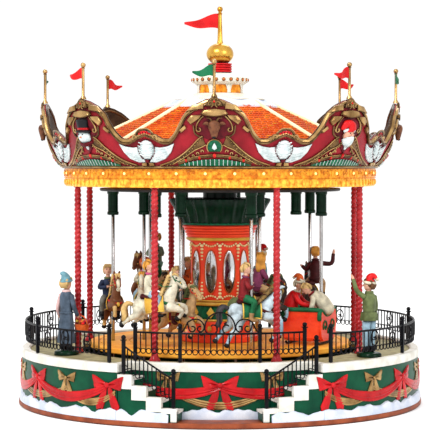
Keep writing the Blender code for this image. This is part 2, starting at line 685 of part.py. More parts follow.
def extruded(outline, width):
    """Side outline of (forward, up) points given a width across."""
    return skin([[Vector((x, side, z)) for x, z in outline] for side in (-width / 2, width / 2)])


def horse_mesh(foot, top):
    """Galloping horse with its rider on a pole; the hooves are at height zero."""
    outline = ((-19, 1), (-15, 0), (-11, 11), (3, 13), (7, 12), (14, 5), (18, 8), (14, 17), (17, 24),
               (22, 23), (24, 27), (18, 36), (14, 36), (8, 30), (4, 31), (1, 44), (3, 49), (1, 55),
               (-5, 55), (-7, 47), (-8, 32), (-15, 29), (-20, 21), (-20, 15), (-16, 16))
    side = extruded([(x * MM, z * MM) for x, z in outline], HORSE_WIDTH)
    pole = turned([(POLE_RADIUS, foot), (POLE_RADIUS, top)], 8)
    return fused(side, pole)


def make_horses():
    """Horses of both rings; each keeps its pole's foot and top in their guides."""
    mesh = horse_mesh(POLE_FOOT - HOOF_HEIGHT, POLE_TOP - HOOF_HEIGHT)
    for ring, radius, horses in (("outer", OUTER_CIRCLE, OUTER_HORSES), ("inner", INNER_CIRCLE, INNER_HORSES)):
        for number, (angle, lift) in enumerate(horses, 1):
            location = at(radius, angle, HOOF_HEIGHT + lift)
            place(f"horse_{ring}_{number}", mesh, "horse_cream", location, angle)


def make_sleigh():
    """Sleigh standing on the turntable, with two seated riders and its pole."""
    outline = ((-16, 1), (14, 1), (17, 8), (17, 22), (13, 25), (0, 22), (-14, 24), (-17, 20), (-17, 6))
    low = TURNTABLE_TOP + GAP
    body = moved(extruded([(x * MM, z * MM) for x, z in outline], 30 * MM), (0, -1 * MM, 0))
    runner = box((30 * MM, 26 * MM, 2 * MM), (0, -1 * MM, 1 * MM))
    riders = [moved(person(34 * MM), (x * MM, y * MM, 16 * MM)) for x, y in ((-3, -7), (4, 6))]
    pole = turned([(POLE_RADIUS, 5 * MM), (POLE_RADIUS, POLE_TOP + 8 * MM - low)], 8)
    seat = -9 * MM
    mesh = fused(moved(fused(body, runner, *riders), (0, seat, 0)), pole)
    place("sleigh", mesh, "red_lacquer", at(OUTER_CIRCLE, SLEIGH_ANGLE, low), SLEIGH_ANGLE)


def main():
    clear_scene()
    make_base_plate()
    make_drum_wall()
    make_coping()
    make_deck()
    make_stairs("stairs_left", -1)
    make_stairs("stairs_right", 1)
    make_railings()
    make_stair_rail("stair_rail_left", -1)
    make_stair_rail("stair_rail_right", 1)
    make_columns()
    make_band_and_ceiling()
    make_cornice()
    make_roof()
    make_lantern()
    make_finial()
    make_corner_flags()
    make_figures()
    make_drive()
    make_wave_track()
    make_electrics()
    make_rotor()
    make_horses()
    make_sleigh()


main()
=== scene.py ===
"""Looks of the tabletop merry-go-round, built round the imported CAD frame.

Metres, +Z up, front at -Y. Angles round the carousel are in degrees from the front, counted
towards +X. Shapes are (points, faces) pairs that a Piece gathers into one mesh.
"""
import math
import random

import bmesh
import bpy
from mathutils import Matrix, Vector, noise


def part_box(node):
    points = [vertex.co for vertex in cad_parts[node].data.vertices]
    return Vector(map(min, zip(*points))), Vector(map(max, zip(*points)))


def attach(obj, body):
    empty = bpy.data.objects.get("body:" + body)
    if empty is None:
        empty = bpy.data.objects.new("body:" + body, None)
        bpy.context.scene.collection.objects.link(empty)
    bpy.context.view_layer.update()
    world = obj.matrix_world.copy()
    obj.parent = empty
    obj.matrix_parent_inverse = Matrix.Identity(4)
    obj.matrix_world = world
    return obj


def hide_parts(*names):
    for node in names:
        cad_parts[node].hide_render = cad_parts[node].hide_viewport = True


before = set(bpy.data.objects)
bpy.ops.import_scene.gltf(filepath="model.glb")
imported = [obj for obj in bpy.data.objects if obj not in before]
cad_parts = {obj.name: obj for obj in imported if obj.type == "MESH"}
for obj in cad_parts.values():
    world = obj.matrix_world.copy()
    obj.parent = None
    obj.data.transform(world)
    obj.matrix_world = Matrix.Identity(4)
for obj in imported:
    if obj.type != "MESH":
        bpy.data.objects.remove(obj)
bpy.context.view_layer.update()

MM = 0.001


# ---------------------------------------------------------------- sizes read from the frame

def top(node):
    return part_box(node)[1].z


def low(node):
    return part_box(node)[0].z


def reach(node):
    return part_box(node)[1].x


BASE_R, BASE_TOP = reach("base_plate"), top("base_plate")
DRUM_R, DRUM_TOP = 144.0 * MM, top("drum_wall")
RECESS_R = 125.6 * MM
RECESS_HALF = 28.3
COPING_TOP, DECK_TOP = top("coping"), top("deck")
COPING_W = 6.0 * MM
DECK_HOLE_R = 101.0 * MM
STAIR_FOOT, STAIR_TREADS, CURB_W, CURB_RISE = 11.4, 4, 3.5 * MM, 2.0 * MM
STAIR_RISE = (DECK_TOP - BASE_TOP) / (STAIR_TREADS + 1)
STAIR_RUN = (RECESS_HALF - 0.2 - STAIR_FOOT) / STAIR_TREADS      # degrees
COLUMN_CIRCLE = 107.8 * MM
BAND_LOW, BAND_TOP, BAND_R = low("light_band"), top("light_band"), reach("light_band")
PEAKS = 8
SECTOR = 360 / PEAKS
TABLE_R = reach("turntable")


# ---------------------------------------------------------------- geometry helpers

def at(radius, angle, height=0.0):
    turn = math.radians(angle)
    return Vector((radius * math.sin(turn), -radius * math.cos(turn), height))


def spread(start, end, steps):
    return [start + (end - start) * i / steps for i in range(steps + 1)]


def mm(*points):
    return [Vector(p) * MM for p in points]


def turns(count):
    """Equal steps round a full turn, in radians."""
    return [2 * math.pi * i / count for i in range(count)]


def turned(angle, axis="Z"):
    return Matrix.Rotation(math.radians(angle), 4, axis)


def shifted(x, y, z):
    """Translation in millimetres."""
    return Matrix.Translation(Vector((x, y, z)) * MM)


def facing(angle, origin):
    """Matrix that stands a shape at an origin, its local -Y turned to an angle from the front."""
    return Matrix.Translation(origin) @ turned(angle)


def loft(loops, ring=False, caps=True):
    """Quads between loops of equal length; capped at its ends, or joined end to end."""
    count = len(loops[0])
    points = [Vector(p) for loop in loops for p in loop]
    faces = []
    rows = len(loops)
    for i in range(rows if ring else rows - 1):
        a, b = i * count, ((i + 1) % rows) * count
        for j in range(count):
            k = (j + 1) % count
            faces.append((a + j, a + k, b + k, b + j))
    if caps and not ring:
        faces.append(tuple(range(count))[::-1])
        faces.append(tuple(range((rows - 1) * count, rows * count)))
    return points, faces


def lathe(profile, segments=96, ring=False):
    return loft([[at(r, 360 * i / segments, z) for i in range(segments)] for r, z in profile], ring)


def smooth_path(points, steps):
    """Catmull-Rom points through a path of vectors (any dimension)."""
    if steps <= 1 or len(points) < 3:
        return [Vector(p) for p in points]
    pts = [Vector(points[0]) * 2 - Vector(points[1]), *map(Vector, points),
           Vector(points[-1]) * 2 - Vector(points[-2])]
    result = []
    for a, b, c, d in zip(pts, pts[1:], pts[2:], pts[3:]):
        for i in range(steps):
            t = i / steps
            result.append(0.5 * ((2 * b) + (c - a) * t + (2 * a - 5 * b + 4 * c - d) * t * t
                                 + (3 * b - a - 3 * c + d) * t ** 3))
    result.append(Vector(points[-1]))
    return result


def tube(path, radius, sides=8, wide=1.0, steps=4, ring=False, up=(0, 0, 1), blunt=0.5):
    """Round tube along a path. radius is one number or one per point; wide stretches it sideways."""
    radii = radius if isinstance(radius, (list, tuple)) else [radius] * len(path)
    packed = smooth_path([(*p, r) for p, r in zip(path, radii)], steps)
    line, radii = [Vector(p[:3]) for p in packed], [max(p[3], 1e-5) for p in packed]
    rows = []
    count = len(line)
    side = None
    for i, p in enumerate(line):
        if ring:
            along = line[(i + 1) % count] - line[i - 1]
        else:
            along = line[min(i + 1, count - 1)] - line[max(i - 1, 0)]
        along.normalize()
        if side is None:
            side = along.cross(Vector(up))
            if side.length < 0.1:
                side = along.cross(Vector((1, 0, 0)))
        side = (side - along * side.dot(along)).normalized()
        rows.append((p, along, side.copy(), along.cross(side)))
    if not ring:
        first, last = rows[0], rows[-1]
        rows = [first, *rows, last]
        radii = [radii[0] * blunt, *radii, radii[-1] * blunt]
        rows[0] = (first[0] - first[1] * radii[1] * blunt, *first[1:])
        rows[-1] = (last[0] + last[1] * radii[-2] * blunt, *last[1:])
    loops = []
    for (p, along, side, normal), r in zip(rows, radii):
        loops.append([p + side * (r * wide * math.cos(a)) + normal * (r * math.sin(a))
                      for a in turns(sides)])
    return loft(loops, ring)


def ball(centre, size, rings=7, sides=12):
    """Ellipsoid; size is one radius or three."""
    sx, sy, sz = size if isinstance(size, (list, tuple)) else (size,) * 3
    loops = []
    for i in range(rings):
        a = math.pi * (i + 0.35) / (rings - 0.3) - math.pi / 2
        ring = [Vector((sx * math.cos(a) * math.cos(t), sy * math.cos(a) * math.sin(t), sz * math.sin(a)))
                for t in turns(sides)]
        loops.append([Vector(centre) + p for p in ring])
    return loft(loops)


def slab(outline, thick, edge=0.25):
    """Plate over an (x, z) outline, its back at y = 0 and its front, with softened edge, at -thick."""
    cx = sum(p[0] for p in outline) / len(outline)
    cz = sum(p[1] for p in outline) / len(outline)

    def inset(share):
        return [(cx + (x - cx) * (1 - share), cz + (z - cz) * (1 - share)) for x, z in outline]

    layers = ((0, outline), (-thick * 0.6, outline), (-thick * 0.9, inset(edge * 0.3)),
              (-thick, inset(edge * 0.7)))
    loops = [[Vector((x, y, z)) for x, z in points] for y, points in layers]
    return loft(loops)


def block(size, centre=(0, 0, 0), soft=0.15):
    """Box with softened edges, set on its centre."""
    hx, hy, hz = (s / 2 for s in size)
    e = min(hx, hy, hz) * soft

    def loop(z, k):
        x, y = hx - k, hy - k
        return [Vector(centre) + Vector(c) for c in (
            (-x + e, -y, z), (x - e, -y, z), (x, -y + e, z), (x, y - e, z),
            (x - e, y, z), (-x + e, y, z), (-x, y - e, z), (-x, -y + e, z))]

    return loft([loop(-hz, e), loop(-hz + e, 0), loop(hz - e, 0), loop(hz, e)])


def moved(shape, where):
    """The shape through a matrix, or through a function of a point."""
    points, faces = shape
    if isinstance(where, Matrix):
        return [where @ p for p in points], faces
    return [where(p) for p in points], faces


def spiral(centre, radii, start, end, steps=10):
    """(x, z) points winding round a centre, angles in degrees from +x towards +z."""
    winds = zip(spread(*radii, steps), spread(start, end, steps))
    return [(centre[0] + r * math.cos(math.radians(a)), centre[1] + r * math.sin(math.radians(a)))
            for r, a in winds]


def trace(points, side=1, out=0.0):
    """Path over an (x, z) drawing in millimetres, lifted off its ground."""
    return [Vector((side * x, -out, z)) * MM for x, z in points]


def relief(points, side=1, thick=0.8, out=0.0):
    """Raised plate over an (x, z) drawing in millimetres."""
    points = [(side * x * MM, z * MM) for x, z in points]
    return moved(slab(points, thick * MM), Matrix.Translation((0, -out * MM, 0)))


def strip(lower, upper, thick, out=0.0):
    """Raised band between two (x, z) curves of equal length, in millimetres."""
    sections = []
    for (x0, z0), (x1, z1) in zip(lower, upper):
        near, far = -out, -out - thick
        bevel = far + thick * 0.3
        dx, dz = x1 - x0, z1 - z0
        sections.append(mm((x0, near, z0), (x0, bevel, z0), (x0 + dx * 0.25, far, z0 + dz * 0.25),
                           (x0 + dx * 0.75, far, z0 + dz * 0.75), (x1, bevel, z1), (x1, near, z1)))
    return loft(sections)


class Piece:
    """One visible object: shapes with their materials, gathered into one mesh."""

    def __init__(self, name):
        self.name = name
        self.points, self.faces, self.marks, self.mats = [], [], [], []

    def add(self, shape, mat, where=None):
        points, faces = moved(shape, where) if where is not None else shape
        if mat not in self.mats:
            self.mats.append(mat)
        mark, base = self.mats.index(mat), len(self.points)
        self.points.extend(points)
        self.faces.extend(tuple(base + i for i in face) for face in faces)
        self.marks.extend([mark] * len(faces))
        return self

    def make(self, body, slot, *nodes, crease=38):
        mesh = bpy.data.meshes.new(self.name)
        mesh.from_pydata(self.points, [], self.faces)
        for mat in self.mats:
            mesh.materials.append(mat)
        mesh.polygons.foreach_set("material_index", self.marks)
        bm = bmesh.new()
        bm.from_mesh(mesh)
        bmesh.ops.recalc_face_normals(bm, faces=bm.faces[:])
        bm.to_mesh(mesh)
        bm.free()
        mesh.shade_smooth()
        mesh.set_sharp_from_angle(angle=math.radians(crease))
        obj = bpy.data.objects.new(self.name, mesh)
        bpy.context.scene.collection.objects.link(obj)
        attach(obj, body)
        if nodes:
            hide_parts(*nodes)
        return obj


# ---------------------------------------------------------------- materials

def ranged(tree, value, low_end, high_end, start=0.0, end=1.0):
    """Maps a socket's value from start..end onto low_end..high_end."""
    node = tree.nodes.new("ShaderNodeMapRange")
    limits = {"From Min": start, "From Max": end, "To Min": low_end, "To Max": high_end}
    for name, limit in limits.items():
        node.inputs[name].default_value = limit
    tree.links.new(value, node.inputs["Value"])
    return node.outputs["Result"]


def mixed(tree, share, first, second, kind="MIX"):
    """Colour blended from first to second by a share; each is a socket or a constant."""
    node = tree.nodes.new("ShaderNodeMix")
    node.data_type, node.blend_type = "RGBA", kind
    for slot, value in ((0, share), (6, first), (7, second)):
        if isinstance(value, bpy.types.NodeSocket):
            tree.links.new(value, node.inputs[slot])
        else:
            node.inputs[slot].default_value = value
    return node.outputs[2]


def paint(name, colour, second=None, patch=90, grain=900, rough=0.45, uneven=0.10, bump=0.12,
          metal=0.0, hollow_shade=0.55, hollow_shade_reach=2.5, coat=0.0, glow=0.0, shine=0.13):
    """Hand-painted resin: patches of two colours, painted shade that darkens the hollows, fine grain and
    bump.
    """
    mat = bpy.data.materials.new(name)
    mat.use_nodes = True
    tree = mat.node_tree
    shader = tree.nodes["Principled BSDF"]
    where = tree.nodes.new("ShaderNodeTexCoord").outputs["Object"]
    second = second or tuple(c * 0.72 for c in colour)

    def noise_map(scale):
        tex = tree.nodes.new("ShaderNodeTexNoise")
        tex.inputs["Scale"].default_value = scale
        tex.inputs["Detail"].default_value = 3
        tree.links.new(where, tex.inputs["Vector"])
        return tex.outputs["Fac"]

    patches, grains = noise_map(patch), noise_map(grain)
    patched = mixed(tree, ranged(tree, patches, 0, 1, 0.35, 0.62), (*second, 1), (*colour, 1))
    # Painted shade: the ambient occlusion node darkens the colour in hollows, creases and between parts,
    # where shade falls.
    hollow = tree.nodes.new("ShaderNodeAmbientOcclusion")
    hollow.samples = 4
    hollow.inputs["Distance"].default_value = hollow_shade_reach * MM
    openness = ranged(tree, hollow.outputs["AO"], 0, 1, 0.25, 0.85)
    hollow_shaded = mixed(tree, openness, (*(c * (1 - hollow_shade) for c in second), 1), patched)
    base = mixed(tree, 0.35, hollow_shaded, ranged(tree, grains, 0.25, 0.8), "MULTIPLY")
    gloss = ranged(tree, patches, max(0.05, rough - uneven), min(1.0, rough + uneven))
    relief = tree.nodes.new("ShaderNodeBump")
    relief.inputs["Strength"].default_value = bump
    relief.inputs["Distance"].default_value = 0.4 * MM
    tree.links.new(grains, relief.inputs["Height"])
    tree.links.new(base, shader.inputs["Base Color"])
    tree.links.new(gloss, shader.inputs["Roughness"])
    tree.links.new(relief.outputs["Normal"], shader.inputs["Normal"])
    shader.inputs["Metallic"].default_value = metal
    shader.inputs["Coat Weight"].default_value = coat * 0.22
    shader.inputs["Specular IOR Level"].default_value = shine
    if glow:
        tree.links.new(base, shader.inputs["Emission Color"])
        shader.inputs["Emission Strength"].default_value = glow
    return mat


# In each paint below, the amount and reach of darkening in the hollows are painted shade.
BROWN = paint("brown_earth_paint", (0.36, 0.085, 0.032), (0.20, 0.045, 0.02), rough=0.5)
GREEN = paint("green_wall_paint", (0.003, 0.080, 0.036), (0.001, 0.044, 0.022),
              patch=60, rough=0.35, shine=0.10)
CREAM = paint("cream_stone_paint", (0.86, 0.85, 0.80), (0.72, 0.69, 0.60), patch=110, rough=0.6)
DECK = paint("deck_stone_paint", (0.46, 0.41, 0.22), (0.27, 0.24, 0.12), patch=160, rough=0.65, bump=0.3)
SNOW = paint("snow_paint", (0.76, 0.79, 0.86), (0.58, 0.64, 0.77),
             patch=110, grain=1500, rough=0.5, hollow_shade=0.15)
IRON = paint("black_iron_paint", (0.004, 0.004, 0.005), (0.010, 0.010, 0.013),
             rough=0.35, hollow_shade=0.3, shine=0.06)
RED = paint("red_lacquer_paint", (0.52, 0.030, 0.036), (0.32, 0.011, 0.015),
            rough=0.25, coat=0.4, hollow_shade=0.8, hollow_shade_reach=1.2)
# Its glow is painted light: it brightens the centre column and the sleigh's panels as if they were lit
# from the canopy's lights.
PANEL_RED = paint("panel_red_paint", (0.88, 0.075, 0.022), (0.74, 0.035, 0.013),
                  patch=60, rough=0.3, coat=0.3, hollow_shade=0.4, glow=0.25)
CRIMSON = paint("crimson_field_paint", (0.35, 0.012, 0.022), (0.20, 0.006, 0.012), patch=50, rough=0.4)
MAROON = paint("maroon_niche_paint", (0.16, 0.006, 0.014), (0.07, 0.003, 0.006), patch=200, rough=0.4)
RIBBON = paint("red_ribbon_paint", (0.62, 0.010, 0.014), (0.40, 0.005, 0.008),
               patch=70, rough=0.3, coat=0.3)
GOLD = paint("bright_gold_paint", (0.85, 0.50, 0.09), (0.55, 0.26, 0.03), rough=0.25, metal=0.8, hollow_shade=0.7)
BRONZE = paint("bronze_relief_paint", (0.20, 0.108, 0.042), (0.07, 0.036, 0.014),
               patch=160, rough=0.28, metal=0.5, hollow_shade=0.9)
DARK_BRONZE = paint("dark_bronze_paint", (0.085, 0.045, 0.020), (0.035, 0.018, 0.009),
                    patch=120, rough=0.35, metal=0.3, hollow_shade=0.7)
PALE_GOLD = paint("pale_gold_paint", (0.58, 0.36, 0.14), (0.24, 0.13, 0.045),
                  rough=0.22, metal=0.7, hollow_shade=0.85)
WHITE = paint("warm_white_paint", (0.92, 0.89, 0.80), (0.82, 0.76, 0.62), rough=0.45, hollow_shade=0.3)
# Its glow is painted light: it brightens the centre column's beads as if they were lit from the canopy's
# lights.
PEARL_GOLD = paint("pearl_gold_paint", (0.95, 0.78, 0.42), (0.72, 0.46, 0.18),
                   patch=160, rough=0.3, coat=0.4, glow=0.25)
PEARL = paint("pearl_paint", (0.80, 0.84, 0.83), (0.56, 0.66, 0.66),
              patch=260, rough=0.3, hollow_shade=0.6, coat=0.3, hollow_shade_reach=1.5)
JEWEL = paint("red_jewel_enamel", (0.70, 0.02, 0.015), (0.5, 0.01, 0.01), patch=300, rough=0.12, coat=0.8)
FLAG_RED = paint("flag_red_paint", (0.78, 0.016, 0.018), (0.55, 0.008, 0.01), rough=0.35, coat=0.2)
FLAG_GREEN = paint("flag_green_paint", (0.010, 0.16, 0.065), (0.006, 0.09, 0.035), rough=0.35, coat=0.2)
LEAF = paint("leaf_green_paint", (0.006, 0.16, 0.07), (0.003, 0.07, 0.03), patch=300, rough=0.3, coat=0.3)
DARK_GREEN = paint("dark_green_paint", (0.003, 0.030, 0.012), (0.001, 0.014, 0.006), rough=0.25, coat=0.3,
                   shine=0.08)
STEEL = paint("pole_steel", (0.62, 0.61, 0.60), (0.45, 0.44, 0.43),
              rough=0.22, metal=1.0, bump=0.03, hollow_shade=0.3)
MIRROR = paint("mirror_silver", (0.80, 0.80, 0.80), (0.66, 0.66, 0.66),
               rough=0.08, uneven=0.03, metal=1.0, bump=0.02, hollow_shade=0.2)
NYLON = paint("natural_nylon", (0.78, 0.76, 0.70), (0.66, 0.64, 0.58), rough=0.45)
BLACK = paint("black_plastic", (0.02, 0.02, 0.02), (0.035, 0.035, 0.035), rough=0.5)
BOARD = paint("board_laminate", (0.02, 0.18, 0.07), (0.01, 0.11, 0.04), patch=400, rough=0.3)
# Its glow is painted light: it brightens the turntable as if it were lit from the canopy's lights.
WOOD = paint("turntable_paint", (0.92, 0.42, 0.05), (0.70, 0.22, 0.02), patch=50, rough=0.6, glow=0.2)
TILE = paint("roof_tile_paint", (0.84, 0.17, 0.015), (0.62, 0.065, 0.008), patch=90, rough=0.4, glow=0.25)
RIB = paint("roof_rib_paint", (0.95, 0.80, 0.52), (0.88, 0.68, 0.36),
            patch=60, rough=0.4, glow=0.35, hollow_shade=0.2)
LENS = paint("amber_lens", (0.92, 0.35, 0.025), (0.50, 0.13, 0.008),
             patch=330, rough=0.25, glow=0.42, hollow_shade=0.75)
GLOW = paint("lit_lens", (0.98, 0.50, 0.05), (0.62, 0.20, 0.015),
             patch=330, rough=0.25, glow=0.45, hollow_shade=0.6)
BULB = paint("lit_bulb", (1.0, 0.72, 0.25), (1.0, 0.62, 0.18), patch=200, rough=0.2, glow=1.6, hollow_shade=0.0)
YELLOW = paint("yellow_paint", (0.90, 0.60, 0.10), (0.70, 0.38, 0.05), rough=0.35)
FUR = paint("fur_brown_paint", (0.20, 0.075, 0.035), (0.10, 0.035, 0.018), patch=300, rough=0.5)
COAL = paint("coal_paint", (0.012, 0.012, 0.014), rough=0.4)
SKIN = paint("skin_paint", (0.80, 0.46, 0.32), (0.72, 0.36, 0.24), patch=200, rough=0.45, hollow_shade=0.45)
CARROT = paint("carrot_paint", (0.85, 0.22, 0.05), rough=0.4)


def cloth_paint(name, colour, **more):
    return paint(name, colour, tuple(c * 0.6 for c in colour), patch=220, rough=0.5, **more)


NAVY = cloth_paint("navy_cloth_paint", (0.030, 0.045, 0.10))
OLIVE = cloth_paint("olive_cloth_paint", (0.16, 0.20, 0.075))
GREY = cloth_paint("grey_cloth_paint", (0.22, 0.22, 0.19))
SLATE = cloth_paint("slate_cloth_paint", (0.085, 0.12, 0.17))
ICE = cloth_paint("ice_blue_paint", (0.36, 0.54, 0.66))
TEAL = cloth_paint("teal_cloth_paint", (0.20, 0.42, 0.50))
WINE = cloth_paint("wine_cloth_paint", (0.26, 0.016, 0.020))
LEATHER = cloth_paint("dark_leather_paint", (0.075, 0.012, 0.014))
PURPLE = cloth_paint("purple_cloth_paint", (0.24, 0.045, 0.11))
SAGE = cloth_paint("sage_cloth_paint", (0.24, 0.29, 0.19))
EMERALD = cloth_paint("emerald_cloth_paint", (0.015, 0.17, 0.065))
TAN = cloth_paint("tan_cloth_paint", (0.46, 0.27, 0.12))
IVORY = cloth_paint("ivory_cloth_paint", (0.86, 0.80, 0.60))
PINK = cloth_paint("pink_cloth_paint", (0.68, 0.10, 0.26))
ORANGE = cloth_paint("orange_cloth_paint", (0.80, 0.14, 0.03))
BLOND = cloth_paint("blond_hair_paint", (0.76, 0.50, 0.20))
GINGER = cloth_paint("ginger_hair_paint", (0.80, 0.36, 0.06))
BROWN_HAIR = cloth_paint("brown_hair_paint", (0.16, 0.07, 0.03))
MILK = cloth_paint("milk_coat_paint", (0.88, 0.82, 0.64))
FROST = cloth_paint("frost_coat_paint", (0.62, 0.74, 0.80))
BUFF = cloth_paint("buff_coat_paint", (0.66, 0.42, 0.20))
BAY = cloth_paint("bay_coat_paint", (0.22, 0.080, 0.035))
DUSK = cloth_paint("dusk_coat_paint", (0.055, 0.042, 0.034))
STRAW = cloth_paint("straw_mane_paint", (0.84, 0.56, 0.22))
SMOKE = cloth_paint("smoke_mane_paint", (0.060, 0.055, 0.060))
MOSS = paint("moss_mane_paint", (0.30, 0.18, 0.05), (0.05, 0.04, 0.025), patch=420, rough=0.5)
BLUSH = cloth_paint("blush_cloth_paint", (0.80, 0.52, 0.50))
LIP = cloth_paint("lip_paint", (0.50, 0.10, 0.09))


# ---------------------------------------------------------------- drum, deck and stairs

def drum_outline(depth, steps=150, front_steps=40):
    """(radius, angle) round the drum at a depth inside its face, set back at the front."""
    side = math.degrees(depth / DRUM_R)
    half = RECESS_HALF + side
    front = [(RECESS_R - depth, a) for a in spread(0.15 - half, half - 0.15, front_steps)]
    back = [(DRUM_R - depth, a) for a in spread(half, 360 - half, steps)]
    return front + back


def drum_ring(rings):
    """Solid ring following the drum, from (depth, height) points round its section."""
    return loft([[at(r, a, height) for r, a in drum_outline(depth)] for depth, height in rings],
                ring=True)


def make_base():
    edge = 0.8 * MM
    plate = ((BASE_R - edge, 0), (BASE_R, edge), (BASE_R, BASE_TOP - edge), (BASE_R - edge, BASE_TOP))
    Piece("ground_plate").add(lathe(plate, 160), BROWN).make("base", "brown_earth", "base_plate")
    wall_low = low("drum_wall")
    wall = drum_ring(((0, wall_low), (0, DRUM_TOP), (3 * MM, DRUM_TOP), (3 * MM, wall_low)))
    Piece("drum_shell").add(wall, GREEN).make("base", "green_wall", "drum_wall")
    z = low("coping")
    lip, soft = 0.5 * MM, 0.9 * MM
    rings = ((-lip, z), (-lip - 0.2 * MM, z + 2 * MM), (-lip, COPING_TOP - soft),
             (-lip + soft, COPING_TOP), (COPING_W - soft, COPING_TOP),
             (COPING_W, COPING_TOP - soft), (COPING_W, 36.5 * MM), (10 * MM, 36.5 * MM), (10 * MM, z))
    Piece("coping_rim").add(drum_ring(rings), CREAM).make("base", "cream_stone", "coping")
    rim = drum_outline(COPING_W + 0.3 * MM)
    hole = [(DECK_HOLE_R, a) for _, a in rim]
    rings = ((rim, low("deck")), (rim, DECK_TOP), (hole, DECK_TOP), (hole, low("deck")))
    floor = loft([[at(r, a, h) for r, a in outline] for outline, h in rings], ring=True)
    Piece("deck_floor").add(floor, DECK).make("base", "deck_stone", "deck")


def make_stairs(name, side):
    inner, outer = RECESS_R + 0.3 * MM, DRUM_R - 0.3 * MM
    curb = outer - CURB_W
    face = 0.5 * MM                       # the cream bands stand proud of the green wall
    z0 = BASE_TOP + 0.3 * MM
    stairs = Piece(f"{name}_steps")

    def sweep(angles, r0, r1, low_z, high_z, mat):
        section = ((r0, low_z), (r0, high_z), (r1, high_z), (r1, low_z))
        stairs.add(loft([[at(r, side * a, z) for r, z in section] for a in angles]), mat)

    for step in range(STAIR_TREADS):
        a0 = STAIR_FOOT + STAIR_RUN * step
        tread = BASE_TOP + STAIR_RISE * (step + 1)
        curb_top = tread + CURB_RISE
        band = STAIR_RISE + 2.3 * MM if step else 3.2 * MM
        angles = spread(a0, a0 + STAIR_RUN, 4)
        sweep(angles, inner, curb, z0, tread - 1.5 * MM, GREEN)
        sweep([a0 - 0.3, *angles[1:]], inner, curb, tread - 1.5 * MM, tread, CREAM)
        sweep(angles, curb, outer, z0, curb_top - band, GREEN)
        sweep(angles, curb - 0.3 * MM, outer + face, curb_top - band, curb_top, CREAM)
    sweep(spread(STAIR_FOOT, STAIR_FOOT + 1.6, 2), curb - 0.3 * MM,
          outer + face, z0, BASE_TOP + STAIR_RISE, CREAM)
    stairs.make("base", "cream_stone", name)


def wall_place(angle, radius=DRUM_R, level=0.0):
    """Maps a drawing (x along the wall, -y outward, z up from a level) onto a round wall."""
    def place(p):
        return at(radius - p.y, angle + math.degrees(p.x / radius), level + p.z)
    return place


def bow(piece, mat, place, height, size):
    """Tied bow with two puffed loops and two swallow-tailed ends."""
    for side in (-1, 1):
        loops = []
        for share in spread(0, 1, 7):
            x = side * size * (0.6 + 11.4 * share)
            half = size * (1.2 + 3.9 * math.sin(1.5 * share) ** 1.3)
            z = height + size * (0.2 + 1.5 * share)
            puff = (0.9 + 1.0 * math.sin(math.pi * min(1, share + 0.12))) * min(size, 1)
            tilt = 1.2 * size * share
            loops.append([Vector((x + side * tilt * v, -puff * u, z + half * v)) * MM for u, v in (
                (0.1, -1), (0.8, -0.85), (1.0, -0.45), (0.45, -0.05),
                (1.0, 0.4), (0.8, 0.85), (0.1, 1), (0, 0))])
        piece.add(loft(loops), mat, place)
        inner_edge = ((0.2, 0), (0.8, -6), (2.2, -12), (4.0, -17.2), (5.6, -16.4))
        outer_edge = ((2.6, 0), (5.0, -5), (7.6, -10), (9.8, -14.4), (9.2, -17.6))
        edges = [[(side * x * size, height + z * size) for x, z in edge]
                 for edge in (inner_edge, outer_edge)]
        piece.add(strip(*edges, 0.9), mat, place)
    piece.add(ball((0, -1.0 * MM, height * MM), (1.9 * size * MM, 1.0 * MM, 1.9 * size * MM)), mat, place)


def swag(piece, mat, start, end, ends, middle, widths, radius=DRUM_R, out=0.1, steps=16):
    """Hanging band with soft pleats between two angles; heights and widths in millimetres."""
    loops = []
    for share in spread(0, 1, steps):
        dip = math.sin(math.pi * share)
        z = ends + (middle - ends) * dip ** 0.8
        half = (widths[0] + (widths[1] - widths[0]) * dip) / 2
        loops.append([at(radius + (out + u) * MM, start + (end - start) * share, (z + half * v) * MM)
                      for u, v in ((0, -1), (0.9, -0.92), (1.1, -0.6), (0.75, -0.35),
                                   (1.15, -0.1), (0.8, 0.25), (1.15, 0.55), (0.8, 0.92), (0, 1))])
    piece.add(loft(loops), mat)


